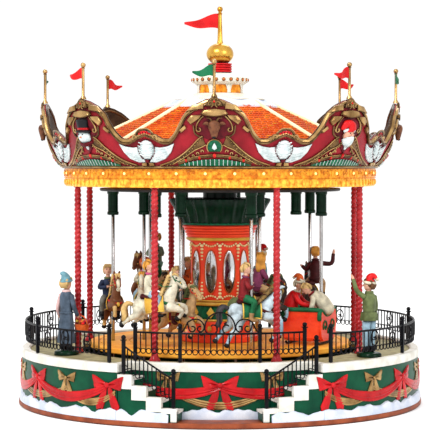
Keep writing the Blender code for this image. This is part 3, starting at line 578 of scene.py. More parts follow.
def make_drum_trim():
    trim = Piece("drum_bows_and_swags")
    first, last, count = 31.2, 328.8, 10
    step = (last - first) / count
    for i in range(count + 1):
        angle = first + step * i
        bow(trim, RIBBON, wall_place(angle), 26.5, 0.95)
        swag(trim, PALE_GOLD, max(angle - step / 2, first - 2.5),
             min(angle + step / 2, last + 2.5), 22, 14.4, (3.4, 5.4), out=-0.2)
        if i < count:
            swag(trim, RIBBON, angle, angle + step, 26, 16.3, (4.5, 7.2), out=0.25)
            bow(trim, PALE_GOLD, wall_place(angle + step / 2), 28.6, 0.72)
    recess = RECESS_R
    bow(trim, RIBBON, wall_place(0, recess), 26.5, 0.95)
    for side in (-1, 1):
        swag(trim, RIBBON, 0, side * 25, 25.6, 20.5, (5, 7.2), recess)
        bow(trim, PALE_GOLD, wall_place(side * 16, recess), 31, 0.65)
    swag(trim, PALE_GOLD, -12.5, 12.5, 20, 13, (3.6, 5.4), recess, out=-0.2)
    trim.make("base", "red_lacquer")

    drift = Piece("snow_drift")
    floor, crest = BASE_TOP, 9.2 * MM

    def bank(radius, start, end, steps):
        loops = []
        for a in spread(start, end, steps):
            mound = 2.6 * noise.noise(Vector((a * 0.35, radius * 40, 0)))
            ripple = 2.2 * abs(math.sin(math.radians(a * 15)))
            z = crest + (mound + ripple - 0.6) * MM
            section = ((-0.2, floor), (1.9, floor), (1.9, floor + (z - floor) * 0.5),
                       (1.2, z - 0.8 * MM), (-0.2, z))
            loops.append([at(radius + u * MM, a, h) for u, h in section])
        drift.add(loft(loops), SNOW)

    bank(DRUM_R, RECESS_HALF + 0.1, 359.9 - RECESS_HALF, 260)
    for side in (-1, 1):
        bank(DRUM_R - 0.4 * MM, side * (STAIR_FOOT + 2.2), side * (RECESS_HALF + 0.1), 20)
    bank(RECESS_R, -STAIR_FOOT - 0.2, STAIR_FOOT + 0.2, 30)
    drift.make("base", "cream_stone")


# ---------------------------------------------------------------- railings

RAIL_H, PICKET_STEP = 19.7 * MM, 4.2 * MM


def post(angle, radius, foot, height, thick=1.15 * MM):
    """Round-cornered post with a ball finial."""
    shape = block((2 * thick, 2 * thick, height), (0, 0, height / 2), 0.3)
    cap = block((2.9 * thick, 2.9 * thick, 0.7 * MM), (0, 0, height), 0.4)
    knob = ball((0, 0, height + 1.75 * MM), 1.65 * MM)
    return [moved(s, facing(angle, at(radius, angle, foot))) for s in (shape, cap, knob)]


def ring_shape(radius, thick, sides=6, steps=14):
    """Upright ring in the local x-z plane."""
    circle = [(radius * math.cos(a), 0, radius * math.sin(a)) for a in turns(steps)]
    return tube(circle, thick, sides=sides, steps=1, ring=True, up=(0, 1, 0))


RING_LEVEL, RING_R, BAR = 6.9 * MM, 1.75 * MM, 0.45 * MM


def railing(piece, radius, start, end, posts, foot):
    """Level railing on an arc: top rail, close-set pickets over a row of small rings, and posts."""
    steps = max(12, round((end - start) / 1.5))
    path = [at(radius, a, foot + RAIL_H - 0.4 * MM) for a in spread(start, end, steps)]
    piece.add(tube(path, 0.75 * MM, sides=6, steps=1), IRON)
    for left, right in zip(posts, posts[1:]):
        count = round(math.radians(right - left) * radius / PICKET_STEP)
        pitch = (right - left) / count
        for i in range(count):
            a = left + pitch * i
            if i:
                piece.add(tube([at(radius, a, foot + RING_LEVEL - 0.4 * MM),
                                at(radius, a, foot + RAIL_H - 0.4 * MM)], BAR, sides=5, steps=1), IRON)
            middle = a + pitch / 2
            piece.add(ring_shape(RING_R, 0.38 * MM, 5, 12), IRON,
                      facing(middle, at(radius, middle, foot + RING_LEVEL)))
    for a in posts:
        for shape in post(a, radius, foot, 22.5 * MM):
            piece.add(shape, IRON)


def scroll(piece, points, place, thick=0.5):
    for side in (-1, 1):
        piece.add(tube(trace(points, side), thick * MM, sides=6, steps=2, up=(0, 1, 0)), IRON, place)


def make_railings():
    foot = low("railing_deck")
    deck = Piece("deck_railing")
    start, bays = 31.5, 9
    posts = spread(start, 360 - start, bays)
    radius = 141 * MM
    railing(deck, radius, start, 360 - start, posts, foot)
    for left, right in zip(posts, posts[1:]):
        middle = (left + right) / 2
        for offset, height, size in ((-9, 12.4, 3.4), (0, 14, 4), (9, 12.4, 3.4)):
            centre = middle + offset
            place = facing(centre, at(radius + 0.5 * MM, centre, foot + height * MM))
            piece_ring = [Vector((size * math.cos(t), 0, 1.25 * size * math.sin(t))) * MM
                          for t in turns(20)]
            deck.add(tube(piece_ring, 0.45 * MM, sides=5, steps=1, ring=True, up=(0, 1, 0)), IRON, place)
            scroll(deck, spiral((0.9, 0), (0.3, 1.5), 0, 330, 12), place, 0.35)
    deck.make("base", "black_iron", "railing_deck")

    front = Piece("front_railing")
    posts = (-27.6, -12.5, 12.5, 27.6)
    radius = 122.8 * MM
    railing(front, radius, posts[0], posts[-1], posts, foot)

    place = wall_place(0, radius, foot + RAIL_H)
    crown = spiral((0, 3.6), (10.2, 10.0), 90, 8, 8)
    curl = spiral((5.0, 3.4), (5.2, 1.6), -10, -300, 12)
    scroll(front, crown + curl, place)
    shoulder = [(25.6, 0.4), (23.5, 3.2), (21.5, 7.2), (17.5, 9.2), (13.2, 8.6), (10.6, 5.2)]
    scroll(front, shoulder + spiral((13.2, 3.0), (2.4, 1.4), 190, 470, 10), place)
    scroll(front, [(21.8, 6.8), (20.9, 3.6)] + spiral((18.4, 3.0), (2.4, 1.4), 0, -290, 10), place)
    front.add(tube([Vector((0, 0, 0)), Vector((0, 0, 13.8 * MM))], 0.55 * MM, sides=6, steps=1),
              IRON, place)
    front.make("base", "black_iron", "railing_front")


def make_stair_rail(name, side):
    radius = DRUM_R - 0.3 * MM - CURB_W / 2
    upper, lower = RECESS_HALF - 1.6, STAIR_FOOT + 1.0
    base = BASE_TOP + CURB_RISE + 0.3 * MM
    rail = Piece(f"{name}_bars")

    def step_height(angle):
        return base + STAIR_RISE * (1 + min(STAIR_TREADS - 1, int((angle - STAIR_FOOT) / STAIR_RUN)))

    def rail_height(angle):
        share = (angle - lower) / (upper - lower)
        return base + STAIR_RISE * (1 + (STAIR_TREADS - 1) * share) + RAIL_H - 1 * MM

    drop = 13.6 * MM
    path = [at(radius, side * a, rail_height(a)) for a in spread(lower, upper, 8)]
    rail.add(tube(path, 0.62 * MM, sides=6, steps=1), IRON)
    pickets = 12
    pitch = (upper - lower) / pickets
    for i in range(pickets):
        a = lower + pitch * i
        if i:
            rail.add(tube([at(radius, side * a, rail_height(a) - drop),
                           at(radius, side * a, rail_height(a))], BAR, sides=5, steps=1), IRON)
        middle = a + pitch / 2
        rail.add(ring_shape(1.4 * MM, 0.36 * MM, 5, 12), IRON,
                 facing(side * middle, at(radius, side * middle, rail_height(middle) - drop)))
    for a in (lower, upper):
        for shape in post(side * a, radius, step_height(a), 22.5 * MM):
            rail.add(shape, IRON)
    rail.make("base", "black_iron", name)


# ---------------------------------------------------------------- columns

def make_columns():
    z0, z1 = low("column_1"), top("column_1")
    foot = 3.4 * MM
    lead = 6.8 * MM                  # rise of one full turn; two ridges each
    for i in range(PEAKS):
        angle = (i + 0.5) * SECTOR + CANOPY_TURN
        rows = []
        for h in spread(z0 + foot, z1 - 1.5 * MM, 250):
            swell = min(1, (z1 - h) / (6 * MM), (h - z0) / (5 * MM))
            row = []
            for j in range(16):
                t = 2 * math.pi * j / 16
                ridge = abs(math.cos(t - 2 * math.pi * h / lead))
                r = (1.75 + 0.75 * ridge * swell) * MM
                row.append(Vector((r * math.cos(t), r * math.sin(t), h)))
            rows.append(row)
        cap = ((2.2 * MM, z1 - 2.4 * MM), (3.4 * MM, z1 - 1.4 * MM), (3.6 * MM, z1))
        base = ((3.8 * MM, z0), (3.8 * MM, z0 + 1.2 * MM), (3.1 * MM, z0 + 2.2 * MM),
                (2.4 * MM, z0 + 4.2 * MM))
        place = facing(angle, at(COLUMN_CIRCLE, angle))
        column = Piece(f"twisted_column_{i + 1}")
        for shape in (loft(rows), lathe(cap, 16), lathe(base, 16)):
            column.add(shape, RED, place)
        column.make("base", "red_lacquer", f"column_{i + 1}", crease=60)


# ---------------------------------------------------------------- canopy

CANOPY_TURN = -1.7                   # degrees that the cornice sits turned from the front


def flare(height, angle):
    """Outer radius of the cornice at a height and angle; it draws in towards the valleys."""
    base, power, full = BAND_TOP + 0.3 * MM, 0.6, 200.8 * MM
    share = max(0.0, min(1.0, (height - base) / (full - base)))
    r0 = 113.9 * MM
    drawn_in = 1.9 * MM * (1 - math.cos(math.radians(PEAKS * (angle - CANOPY_TURN))))
    return r0 + (128 * MM - r0) * share ** power - drawn_in * min(1.0, 2.5 * share)


# (angle from a peak, height in millimetres)
EDGE = ((0, 216.7), (2.4, 215.6), (5.8, 212.3), (8.6, 207.6), (10.2, 201),
        (11.9, 194.6), (14, 190), (16.8, 190), (19.5, 193), (22.5, 195.4))


def scallop(angle):
    """Height of the cornice's upper edge."""
    off = abs((angle - CANOPY_TURN + SECTOR / 2) % SECTOR - SECTOR / 2)
    for (a0, z0), (a1, z1) in zip(EDGE, EDGE[1:]):
        if off <= a1:
            return (z0 + (z1 - z0) * (off - a0) / (a1 - a0)) * MM
    return EDGE[-1][1] * MM


def make_band():
    band = Piece("lit_band")
    step = BAND_LOW + 4.2 * MM
    foot = BAND_LOW - 1.8 * MM
    lip = 1.0 * MM
    inner = 104 * MM
    lower = ((BAND_R - lip - 0.3 * MM, foot), (BAND_R - lip, foot + 0.8 * MM), (BAND_R - lip, step),
             (inner, step), (inner, foot))
    upper = ((BAND_R - 0.5 * MM, step), (BAND_R - 0.4 * MM, BAND_TOP), (inner, BAND_TOP), (inner, step))
    band.add(lathe(lower, 160, ring=True), GLOW).add(lathe(upper, 160, ring=True), LENS)
    count = 72
    face = BAND_R - 0.4 * MM
    middle = (step + BAND_TOP) / 2 / MM

    for i in range(count):
        angle = 360 * (i + 1) / count
        where = wall_place(angle, face)
        if i % 2:
            scrolls = spiral((1.6, middle), (1.7, 0.6), 180, -160, 8)
            for side in (-1, 1):
                band.add(tube(trace(scrolls, side), 0.38 * MM, sides=5, steps=1, up=(0, 1, 0)),
                         LENS, where)
        else:
            band.add(ball((0, -0.1 * MM, middle * MM), (1.0 * MM, 0.8 * MM, 1.0 * MM), 5, 10),
                     BULB, where)
            band.add(ring_shape(2.1 * MM, 0.35 * MM, 5, 12), LENS,
                     facing(angle, at(face, angle, middle * MM)))
        bar = [(4.9, middle - 2.2), (4.9, middle + 2.2)]
        band.add(tube(trace(bar), 0.35 * MM, sides=5, steps=1), LENS, where)
    for angle in spread(0, 360, 120)[:-1]:
        band.add(ball(at(BAND_R - lip, angle, BAND_LOW + 1.2 * MM),
                      (1.1 * MM, 1.1 * MM, 2.2 * MM), 5, 8), GLOW)
    band.add(lathe(((BAND_R - 0.6 * MM, step - 0.3 * MM), (BAND_R, step),
                    (BAND_R - 0.6 * MM, step + 0.4 * MM)), 160), LENS)
    band.make("base", "amber_glow", "light_band")


def wrapped(centre):
    """Maps a drawing (x along the cornice, -y outward, z up) onto the flared cornice."""
    def place(p):
        angle = centre + math.degrees(p.x / (124 * MM))
        return at(flare(p.z, angle) - p.y, angle, p.z)
    return place


def cord(piece, mat, points, place, thick=0.5, out=0.4, mirror=True, steps=3):
    for side in (-1, 1) if mirror else (1,):
        path = trace(points, side, out)
        piece.add(tube(path, thick * MM, sides=6, steps=steps, up=(0, 1, 0)), mat, place)


def beads(piece, mat, points, place, size=0.5, out=0.4, mirror=True):
    for side in (-1, 1) if mirror else (1,):
        for x, z in points:
            piece.add(ball((side * x * MM, -out * MM, z * MM), size * MM, 5, 8), mat, place)


def along(points, count):
    """Evenly spaced (x, z) points on a polyline."""
    path = smooth_path([Vector((x, z, 0)) for x, z in points], 8)
    lengths = [0.0]
    for a, b in zip(path, path[1:]):
        lengths.append(lengths[-1] + (b - a).length)
    result = []
    for i in range(count):
        goal = lengths[-1] * (i + 0.5) / count
        k = next(j for j, d in enumerate(lengths) if d >= goal)
        p = path[k - 1].lerp(path[k], (goal - lengths[k - 1]) / (lengths[k] - lengths[k - 1]))
        result.append((p.x, p.y))
    return result


def peak_relief(centre, kind, number):
    """Carved gable of one peak: crest, shell, niche with a head, jewels, lattice and leaf band."""
    gable = Piece(f"peak_relief_{number}")
    place = wrapped(centre)
    crest = [(-5.6, 211), (-4.2, 214.6), (-1.6, 217.4), (0, 218), (1.6, 217.4), (4.2, 214.6), (5.6, 211)]
    gable.add(relief(crest, 1, 1.8, 0.6), BRONZE, place)
    cord(gable, PALE_GOLD, spiral((2.6, 212.6), (2.2, 0.6), 250, -90, 10), place, 0.4, 2.3)
    cord(gable, PALE_GOLD, spiral((1.5, 215.4), (1.5, 0.4), 260, -60, 8), place, 0.35, 2.3)
    beads(gable, JEWEL, [(0, 214.2)], place, 0.8, 2.4, False)
    shell = [(-8.6, 206.2), (-7, 208.6), (0, 209.6), (7, 208.6),
             (8.6, 206.2), (5, 205), (0, 204.5), (-5, 205)]
    gable.add(relief(shell, 1, 2.6, 0.5), PALE_GOLD, place)
    cord(gable, BRONZE, [(8.4, 206.4), (5, 205.2), (0, 204.7)], place, 0.5, 2.6)
    for fold in (((6.9, 213.4), (6.9, 209.4), (13, 208.8), (18.4, 207.6), (13.8, 212.2)),
                 ((17.6, 202), (15, 205.2), (8, 205.4), (9.4, 203.2), (15.2, 199)),
                 ((23.4, 195.4), (19.2, 198.6), (18, 196.8), (21.4, 194))):
        for side in (-1, 1):
            gable.add(relief(fold, side, 1.6, 0.5), PALE_GOLD, place)
            middle = [sum(c) / len(fold) for c in zip(*fold)]
            gable.add(relief([((x + middle[0]) / 2 + 1.0, (z + middle[1]) / 2 - 1.4) for x, z in fold],
                             side, 1.0, 0.4), BRONZE, place)
    niche = [(11.4 * math.cos(t), 197 + 8.2 * math.sin(t)) for t in turns(20)]
    gable.add(relief(niche, 1, 0.5), MAROON, place)
    cord(gable, PALE_GOLD, [(6.9, 204.7), (9.3, 202.2), (11.1, 199.2)]
         + spiral((10, 195.9), (1.7, 0.9), 10, -250, 8), place, 0.55, 0.9)
    cord(gable, BRONZE, [(13.5, 198.4), (12.9, 193.8), (10.5, 191.6), (7.5, 190.8)], place, 0.6, 0.6)
    outer = [(39.4, 172.2), (29.9, 175.2), (22.6, 179.2), (16, 184.2), (11, 189.2), (8, 191.4)]
    inner = [(30, 172.8), (24, 175.8), (19, 178.6), (13.4, 182.2), (8.6, 184.2), (6, 185.6)]
    for side in (-1, 1):
        lower = [(side * x, z) for x, z in inner]
        upper = [(side * x, z) for x, z in outer]
        gable.add(strip(lower, upper, 0.7), BRONZE, place)
    cord(gable, PALE_GOLD, outer, place, 0.5, 0.8)
    cord(gable, PALE_GOLD, inner + [(5, 184.8)], place, 0.42, 0.8)
    lattice = [(x * 0.97, z - 1.5) for x, z in outer]
    beads(gable, PALE_GOLD, along(lattice, 13), place, 0.5, 0.9)
    leaves = [(26, 173.6), (19, 176.6), (12.6, 179.6), (7, 182.2)]
    for share, (x, z) in enumerate(along(leaves, 6)):
        size = 0.5 + 0.12 * share
        cord(gable, PALE_GOLD, spiral((x, z), (1.2 * size, 0.3), 200, -60, 6), place, 0.4, 0.8)
    green = [(-25.5, 172.5), (-16.5, 174.7), (-7, 176), (0, 176.3),
             (7, 176), (16.5, 174.7), (25.5, 172.5)]
    gable.add(strip([(x, 171.9) for x, _ in green], green, 1.0), LEAF, place)
    for x in range(-21, 22, 3):
        height = 176.2 - 3.6 * (x / 25) ** 2
        cord(gable, PEARL, [(x, 172.2), (x, height)], place, 0.22, 1.1, False, 1)
    arch = [(25.6, 173.4), (19, 175.4), (11.5, 177.4), (0, 178.4)]
    cord(gable, BRONZE, arch, place, 0.95, 0.7)
    # The thin pale gold line along the top of the bronze arch is a painted highlight.
    cord(gable, PALE_GOLD, [(x, z + 0.9) for x, z in arch], place, 0.32, 1.0)
    beads(gable, JEWEL, [(0, 178.6)], place, 1.5, 0.9, False)
    beads(gable, JEWEL, [(10.4, 177.2), (20, 175.4)], place, 1.1, 0.9)
    if kind == "head":
        rim = [(5.0 * math.cos(t), 184.2 + 5.0 * math.sin(t))
               for t in (math.pi * i / 10 for i in range(-2, 13))]
        gable.add(relief(rim, 1, 1.3), LEAF, place)
        cord(gable, PALE_GOLD, rim, place, 0.45, 1.1, False, 1)
        leaf = [(0, 187.2), (1.3, 184.8), (1.6, 183.4), (0, 182.2), (-1.6, 183.4), (-1.3, 184.8)]
        gable.add(relief(leaf, 1, 0.8, 1.2), PEARL, place)
        stag_head(gable, place)
    elif kind == "snowman":
        snow_head(gable, place)
    else:
        capped_head(gable, place)
    gable.make("base", "red_gold_cornice")


def stag_head(gable, place):
    """Young stag's head with small antlers."""
    head = mm((0, -1.4, 200), (0, -2.6, 197.6), (0, -3.8, 193.6), (0, -4.4, 190.9))
    gable.add(tube(head, [2.7 * MM, 3.1 * MM, 2.1 * MM, 1.5 * MM], 12, wide=1.25), FUR, place)
    gable.add(ball(mm((0, -5.3, 190.6))[0], (1.2 * MM, 0.9 * MM, 0.8 * MM)), COAL, place)
    for side in (-1, 1):
        ear = mm((side * 3, -1.6, 199), (side * 5.2, -1.8, 199.9), (side * 7.2, -1.5, 199.2))
        gable.add(tube(ear, [0.9 * MM, 1.2 * MM, 0.3 * MM], 8), FUR, place)
        antler = mm((side * 1.6, -1.4, 201.2), (side * 2.8, -1.6, 203.2), (side * 5, -1.7, 203.4))
        gable.add(tube(antler, [0.6 * MM, 0.5 * MM, 0.2 * MM], 6), BRONZE, place)
        gable.add(ball(mm((side * 2.1, -4.6, 197))[0], 0.5 * MM), COAL, place)


def garland(gable, place):
    for drop in (0, 1):
        line = [(1.5 + drop, 190 - 2 * drop), (6 + drop, 186 - 2 * drop), (10 + 2 * drop, 180.6 - drop)]
        beads(gable, PALE_GOLD, along(line, 8), place, 0.5, 0.8)
    gable.add(relief([(-3, 188), (3, 188), (4, 184), (0, 180.4), (-4, 184)], 1, 1.0), MAROON, place)
    gable.add(ball(mm((0, -1.2, 184.6))[0], (1.3 * MM, 0.9 * MM, 1.9 * MM)), PEARL, place)


def sunk(place):
    """The same place, lower and deeper in its niche, without coming out at the back."""
    return lambda p: place(Vector((p.x, min(p.y + 1.8 * MM, 2 * MM), p.z - 3.6 * MM)))


def snow_head(gable, place):
    """Snow figure's head with a top hat and a scarf."""
    garland(gable, place)
    place = sunk(place)
    gable.add(ball(mm((0, -3.2, 195))[0], (5.4 * MM, 3.6 * MM, 4.7 * MM), 10, 16), PEARL, place)
    hat = [(4.0 * MM, 198 * MM), (6.8 * MM, 198.2 * MM), (6.8 * MM, 199 * MM), (4.7 * MM, 199.6 * MM),
           (4.5 * MM, 201.6 * MM), (5.2 * MM, 206.2 * MM), (4.7 * MM, 206.8 * MM)]
    gable.add(lathe(hat, 20), COAL, lambda p: place(Vector((p.x, p.y * 0.75 - 2.6 * MM, p.z))))
    band = [(4.75 * MM, 199.8 * MM), (4.55 * MM, 201.2 * MM)]
    gable.add(lathe(band, 20), RIBBON, lambda p: place(Vector((p.x * 1.04, p.y * 0.78 - 2.6 * MM, p.z))))
    gable.add(tube(mm((0, -6, 195), (0.6, -8.4, 194.6)), [0.8 * MM, 0.2 * MM], 8), CARROT, place)
    for side in (-1, 1):
        gable.add(ball(mm((side * 1.7, -6.2, 196.6))[0], 0.5 * MM), COAL, place)
        scarf = mm((side * 5, -1.6, 191.4), (side * 2.6, -5.4, 190), (0, -6, 189.4))
        gable.add(tube(scarf, 1.3 * MM, 8), MAROON, place)


def capped_head(gable, place):
    """Bearded head in a fur-edged cap; plain features."""
    garland(gable, place)
    place = sunk(place)
    gable.add(ball(mm((0, -3.2, 196))[0], (4.4 * MM, 3.4 * MM, 4.4 * MM), 10, 16), SKIN, place)
    beard = mm((0, -3.2, 193.4), (0, -3.8, 190.6), (0.4, -3.4, 188.2))
    gable.add(tube(beard, [4.5 * MM, 3.6 * MM, 1.2 * MM], 12), PEARL, place)
    gable.add(tube(mm((-4.6, -3, 199.2), (0, -5.6, 200), (4.6, -3, 199.2)), 1.3 * MM, 8), PEARL, place)
    cap = mm((0.4, -2.6, 199.6), (-0.6, -2.8, 202.2), (-3.4, -2.6, 203.2), (-6.4, -2.6, 200.6))
    gable.add(tube(cap, [4.7 * MM, 4.3 * MM, 3.4 * MM, 1.6 * MM], 12), FLAG_RED, place)
    gable.add(ball(mm((0, -6.7, 196))[0], 0.8 * MM), SKIN, place)
    for side in (-1, 1):
        gable.add(ball(mm((side * 1.6, -6.2, 197.4))[0], 0.4 * MM), COAL, place)
        tache = mm((0, -6.6, 194.8), (side * 1.8, -6.4, 194.2), (side * 3.4, -5, 194.6))
        gable.add(tube(tache, [0.8 * MM, 0.8 * MM, 0.2 * MM], 6), PEARL, place)


def valley_relief(centre, number):
    """Winged pearl disc under a small shell crest."""
    badge = Piece(f"valley_relief_{number}")
    place = wrapped(centre)
    shell = [(-5.2, 190), (-4.8, 193.4), (-2.7, 194.9), (0, 195.3),
             (2.7, 194.9), (4.8, 193.4), (5.2, 190)]
    badge.add(relief(shell, 1, 1.2, 0.3), RIBBON, place)
    for x in (-3.2, -1.1, 1.1, 3.2):
        cord(badge, MAROON, [(x * 0.5, 189.6), (x, 194.4)], place, 0.28, 1.5, False, 1)
    cord(badge, BRONZE, [(0, 196.2), (3.4, 195.7), (6, 193.4), (7.4, 190.8)], place, 0.8, 0.9)
    # The thin pale gold line along the top of the bronze curl is a painted highlight.
    cord(badge, PALE_GOLD, [(0, 196.8), (3.6, 196.3), (6.4, 193.9)], place, 0.3, 1.5)
    cord(badge, PALE_GOLD, [(11, 188.2), (8.6, 188.6)] + spiral((7.2, 190.6), (2.2, 0.7), -60, 250, 9),
         place, 0.75, 1.2)
    badge.add(ball(mm((0, -0.4, 182.5))[0], (5.8 * MM, 2.6 * MM, 6.6 * MM), 9, 18), PEARL, place)
    for level in (178.6, 181.2, 183.8, 186.4):
        half = 5.6 * math.sqrt(1 - ((level - 182.5) / 6.8) ** 2)
        curve = [(x, level + 0.05 * x * x) for x in spread(-half, half, 6)]
        cord(badge, PEARL, curve, place, 0.4, 2.5, False, 2)
    wing = [(21, 186.8), (15.8, 184.8), (10.4, 184), (5.6, 184.6), (4.4, 178.6), (1.4, 174.2), (7, 174.2),
            (13.8, 176.6), (18.2, 181)]
    for side in (-1, 1):
        badge.add(relief(wing, side, 1.3, 0.2), PEARL, place)
    for tip, root in (((18.8, 184.6), (5.6, 182.6)), ((17.2, 182.2), (5.4, 180.8)),
                      ((15.2, 180), (5, 179.2)), ((13, 177.8), (4.2, 177.4)),
                      ((9.8, 175.8), (3.4, 175.6))):
        bend = ((tip[0] + root[0]) / 2, (tip[1] + root[1]) / 2 - 0.7)
        cord(badge, PEARL, [tip, bend, root], place, 0.35, 1.6)
    cord(badge, MAROON, [(6.2, 186), (6.4, 182), (4.8, 178.4), (3.2, 176.6)], place, 0.35, 1.6)
    badge.add(relief([(-1.6, 176), (1.6, 176), (1.3, 174), (-1.3, 174)], 1, 2, 0.4), MAROON, place)
    for side in (-1, 1):
        foot = [(0.6, 174.2), (4.4, 173.8), (5, 172), (1, 171.7)]
        badge.add(relief(foot, side, 1.5, 0.3), PALE_GOLD, place)
    badge.make("base", "red_gold_cornice")


def make_cornice():
    z0 = low("cornice")
    shares = (0, 0.06, 0.14, 0.25, 0.4, 0.55, 0.7, 0.85, 1)
    angles = range(360)
    shell = Piece("cornice_shell")
    for near, far, mat in ((0, 1.2, CRIMSON), (1.25, 2.5, DARK_BRONZE)):
        loops = []
        for inset, order in ((near, shares), (far, shares[::-1])):
            for share in order:
                heights = [z0 + (scallop(a) - z0) * share for a in angles]
                loops.append([at(flare(h, a) - inset * MM, a, h) for a, h in zip(angles, heights)])
        shell.add(loft(loops, ring=True), mat)
    # Along the scalloped top edge, a pale gold tube between darker bronze ones paints one rounded gold
    # moulding: painted highlight along its middle, painted shade at its edges.
    for inset, drop, thick, mat in ((0.2, 1.6, 1.35, PALE_GOLD), (1.5, 0.6, 0.9, DARK_BRONZE),
                                    (-0.4, 3.2, 0.75, BRONZE), (2.0, 2.4, 1.1, BRONZE)):
        edge = [at(flare(scallop(a), a) - inset * MM, a, scallop(a) - drop * MM) for a in angles]
        shell.add(tube(edge, thick * MM, sides=8, steps=1, ring=True), mat)
    for height, out, thick, mat in ((0.9, 0.1, 0.7, PALE_GOLD), (2.0, 0.1, 0.3, MAROON),
                                    (0.1, 0, 0.5, DARK_BRONZE)):
        z = z0 + height * MM
        line = [at(flare(z, a) + out * MM, a, z) for a in angles]
        shell.add(tube(line, thick * MM, sides=6, steps=1, ring=True), mat)
    shell.make("base", "red_gold_cornice", "cornice")
    kinds = ("head", "capped", "head", "snowman", "head", "capped", "head", "snowman")
    for i, kind in enumerate(kinds):
        centre = i * SECTOR + CANOPY_TURN
        peak_relief(centre, kind, i + 1)
        valley_relief(centre + SECTOR / 2, i + 1)


def make_roof():
    crown = top("roof")
    eave_r, eave, crown_r = 116 * MM, 179.9 * MM, 32.2 * MM
    slope = (crown - eave) / (eave_r - crown_r)
    rows = []
    courses = 26
    for i in range(courses):
        r0 = eave_r + (crown_r - eave_r) * i / courses
        r1 = eave_r + (crown_r - eave_r) * (i + 1) / courses
        for r, lift in ((r0, 0.0), (r1, -0.55 * MM)):
            rows.append((r, eave + (eave_r - r) * slope + lift))
    roof = Piece("tiled_roof")
    under = [(crown_r, crown - 2.2 * MM), (eave_r, eave - 2 * MM)]
    rings = [[at(r, SECTOR * i, z) for i in range(PEAKS)] for r, z in rows + under]
    roof.add(loft(rings, ring=True), TILE)
    for side in range(PEAKS):
        outward = (side + 0.5) * SECTOR
        for i in range(courses):
            r = eave_r + (crown_r - eave_r) * (i + 0.5) / courses
            half = r * math.sin(math.pi / PEAKS)
            mid = r * math.cos(math.pi / PEAKS)
            tiles = max(1, int(2 * half / (4.2 * MM)))
            for j in range(tiles):
                x = (j + 0.5 + 0.5 * (i % 2) - tiles / 2) * 4.2 * MM
                if abs(x) > half - 2 * MM:
                    continue
                lip = tube([Vector((x - 1.7 * MM, 0, 0)), Vector((x, -0.5 * MM, 0.15 * MM)),
                            Vector((x + 1.7 * MM, 0, 0))], 0.32 * MM, sides=4, steps=1)
                z = eave + (eave_r - r - 0.9 * MM) * slope
                place = facing(outward, at(mid + 0.9 * MM, outward, z))
                roof.add(lip, LENS if (i * 7 + j * 3 + side) % 5 == 0 else TILE, place)
    for i in range(PEAKS):
        a = SECTOR * i
        rib = [at(eave_r - 1 * MM, a, eave + 0.5 * MM), at(crown_r, a, crown + 0.2 * MM)]
        roof.add(tube(rib, 1.5 * MM, sides=8, steps=1), RIB)
    collar = []
    for r, lift in ((33.2, -1.5), (33.2, 1.9), (36.5, 1.5), (42, 0.7), (42.4, -0.4), (38, -1)):
        ring = []
        for j in range(96):
            a = 3.75 * j
            off = math.radians(a % SECTOR - SECTOR / 2)
            octagon = math.cos(math.pi / PEAKS) / math.cos(off)
            far = r * octagon * (1 + 0.012 * math.sin(9 * math.radians(a)))
            ring.append(at(far * MM, a, eave + (eave_r - r * MM) * slope + lift * MM))
        collar.append(ring)
    roof.add(loft(collar, ring=True), SNOW)
    roof.make("base", "tile_orange", "roof", crease=25)


def make_lantern():
    z = low("lantern")
    lantern = Piece("roof_lantern")
    foot = ((33 * MM, z), (33 * MM, z + 0.8 * MM), (27 * MM, z + 1.9 * MM), (21 * MM, z + 3.6 * MM),
            (18.6 * MM, z + 4.6 * MM), (17.4 * MM, z + 5 * MM))
    wall = ((16.6 * MM, z + 5 * MM), (16.6 * MM, z + 11 * MM))
    awning = ((17 * MM, z + 11 * MM), (18 * MM, z + 11.6 * MM), (20.5 * MM, z + 13.2 * MM),
              (20.7 * MM, z + 16 * MM), (20 * MM, z + 17 * MM), (15 * MM, z + 18.9 * MM),
              (8.6 * MM, top("lantern")))
    lantern.add(lathe(foot, 96), WHITE).add(lathe(wall, 96), LENS).add(lathe(awning, 96), WHITE)
    windows = 8
    for i in range(windows):
        angle = 360 * i / windows
        half = 17 * math.radians(360 / windows / 2)

        def place(p, angle=angle):
            return at(16.6 * MM - p.y, angle + math.degrees(p.x / (17 * MM)), z + p.z)

        pillar = [(half - 1.3, 4.8), (half - 1.3, 11.2), (half + 1.3, 11.2), (half + 1.3, 4.8)]
        lantern.add(relief(pillar, 1, 0.9), WHITE, place)
        arch = spiral((0, 8), (half - 1.2, half - 1.2), 0, 180, 10)
        lantern.add(tube(trace(arch, 1, 0.5), 0.5 * MM, sides=6, steps=1, up=(0, 1, 0)), WHITE, place)
    dots = 24
    for i in range(dots):
        angle = 360 * (i + 0.5) / dots
        lantern.add(ball(at(20.6 * MM, angle, z + 14.6 * MM), (0.8 * MM, 0.8 * MM, 0.9 * MM), 5, 8),
                    CARROT)
        lantern.add(ring_shape(1.2 * MM, 0.3 * MM, 5, 10), PALE_GOLD,
                    facing(angle, at(20.6 * MM, angle, z + 14.6 * MM)))
    lantern.make("base", "white_paint", "lantern")


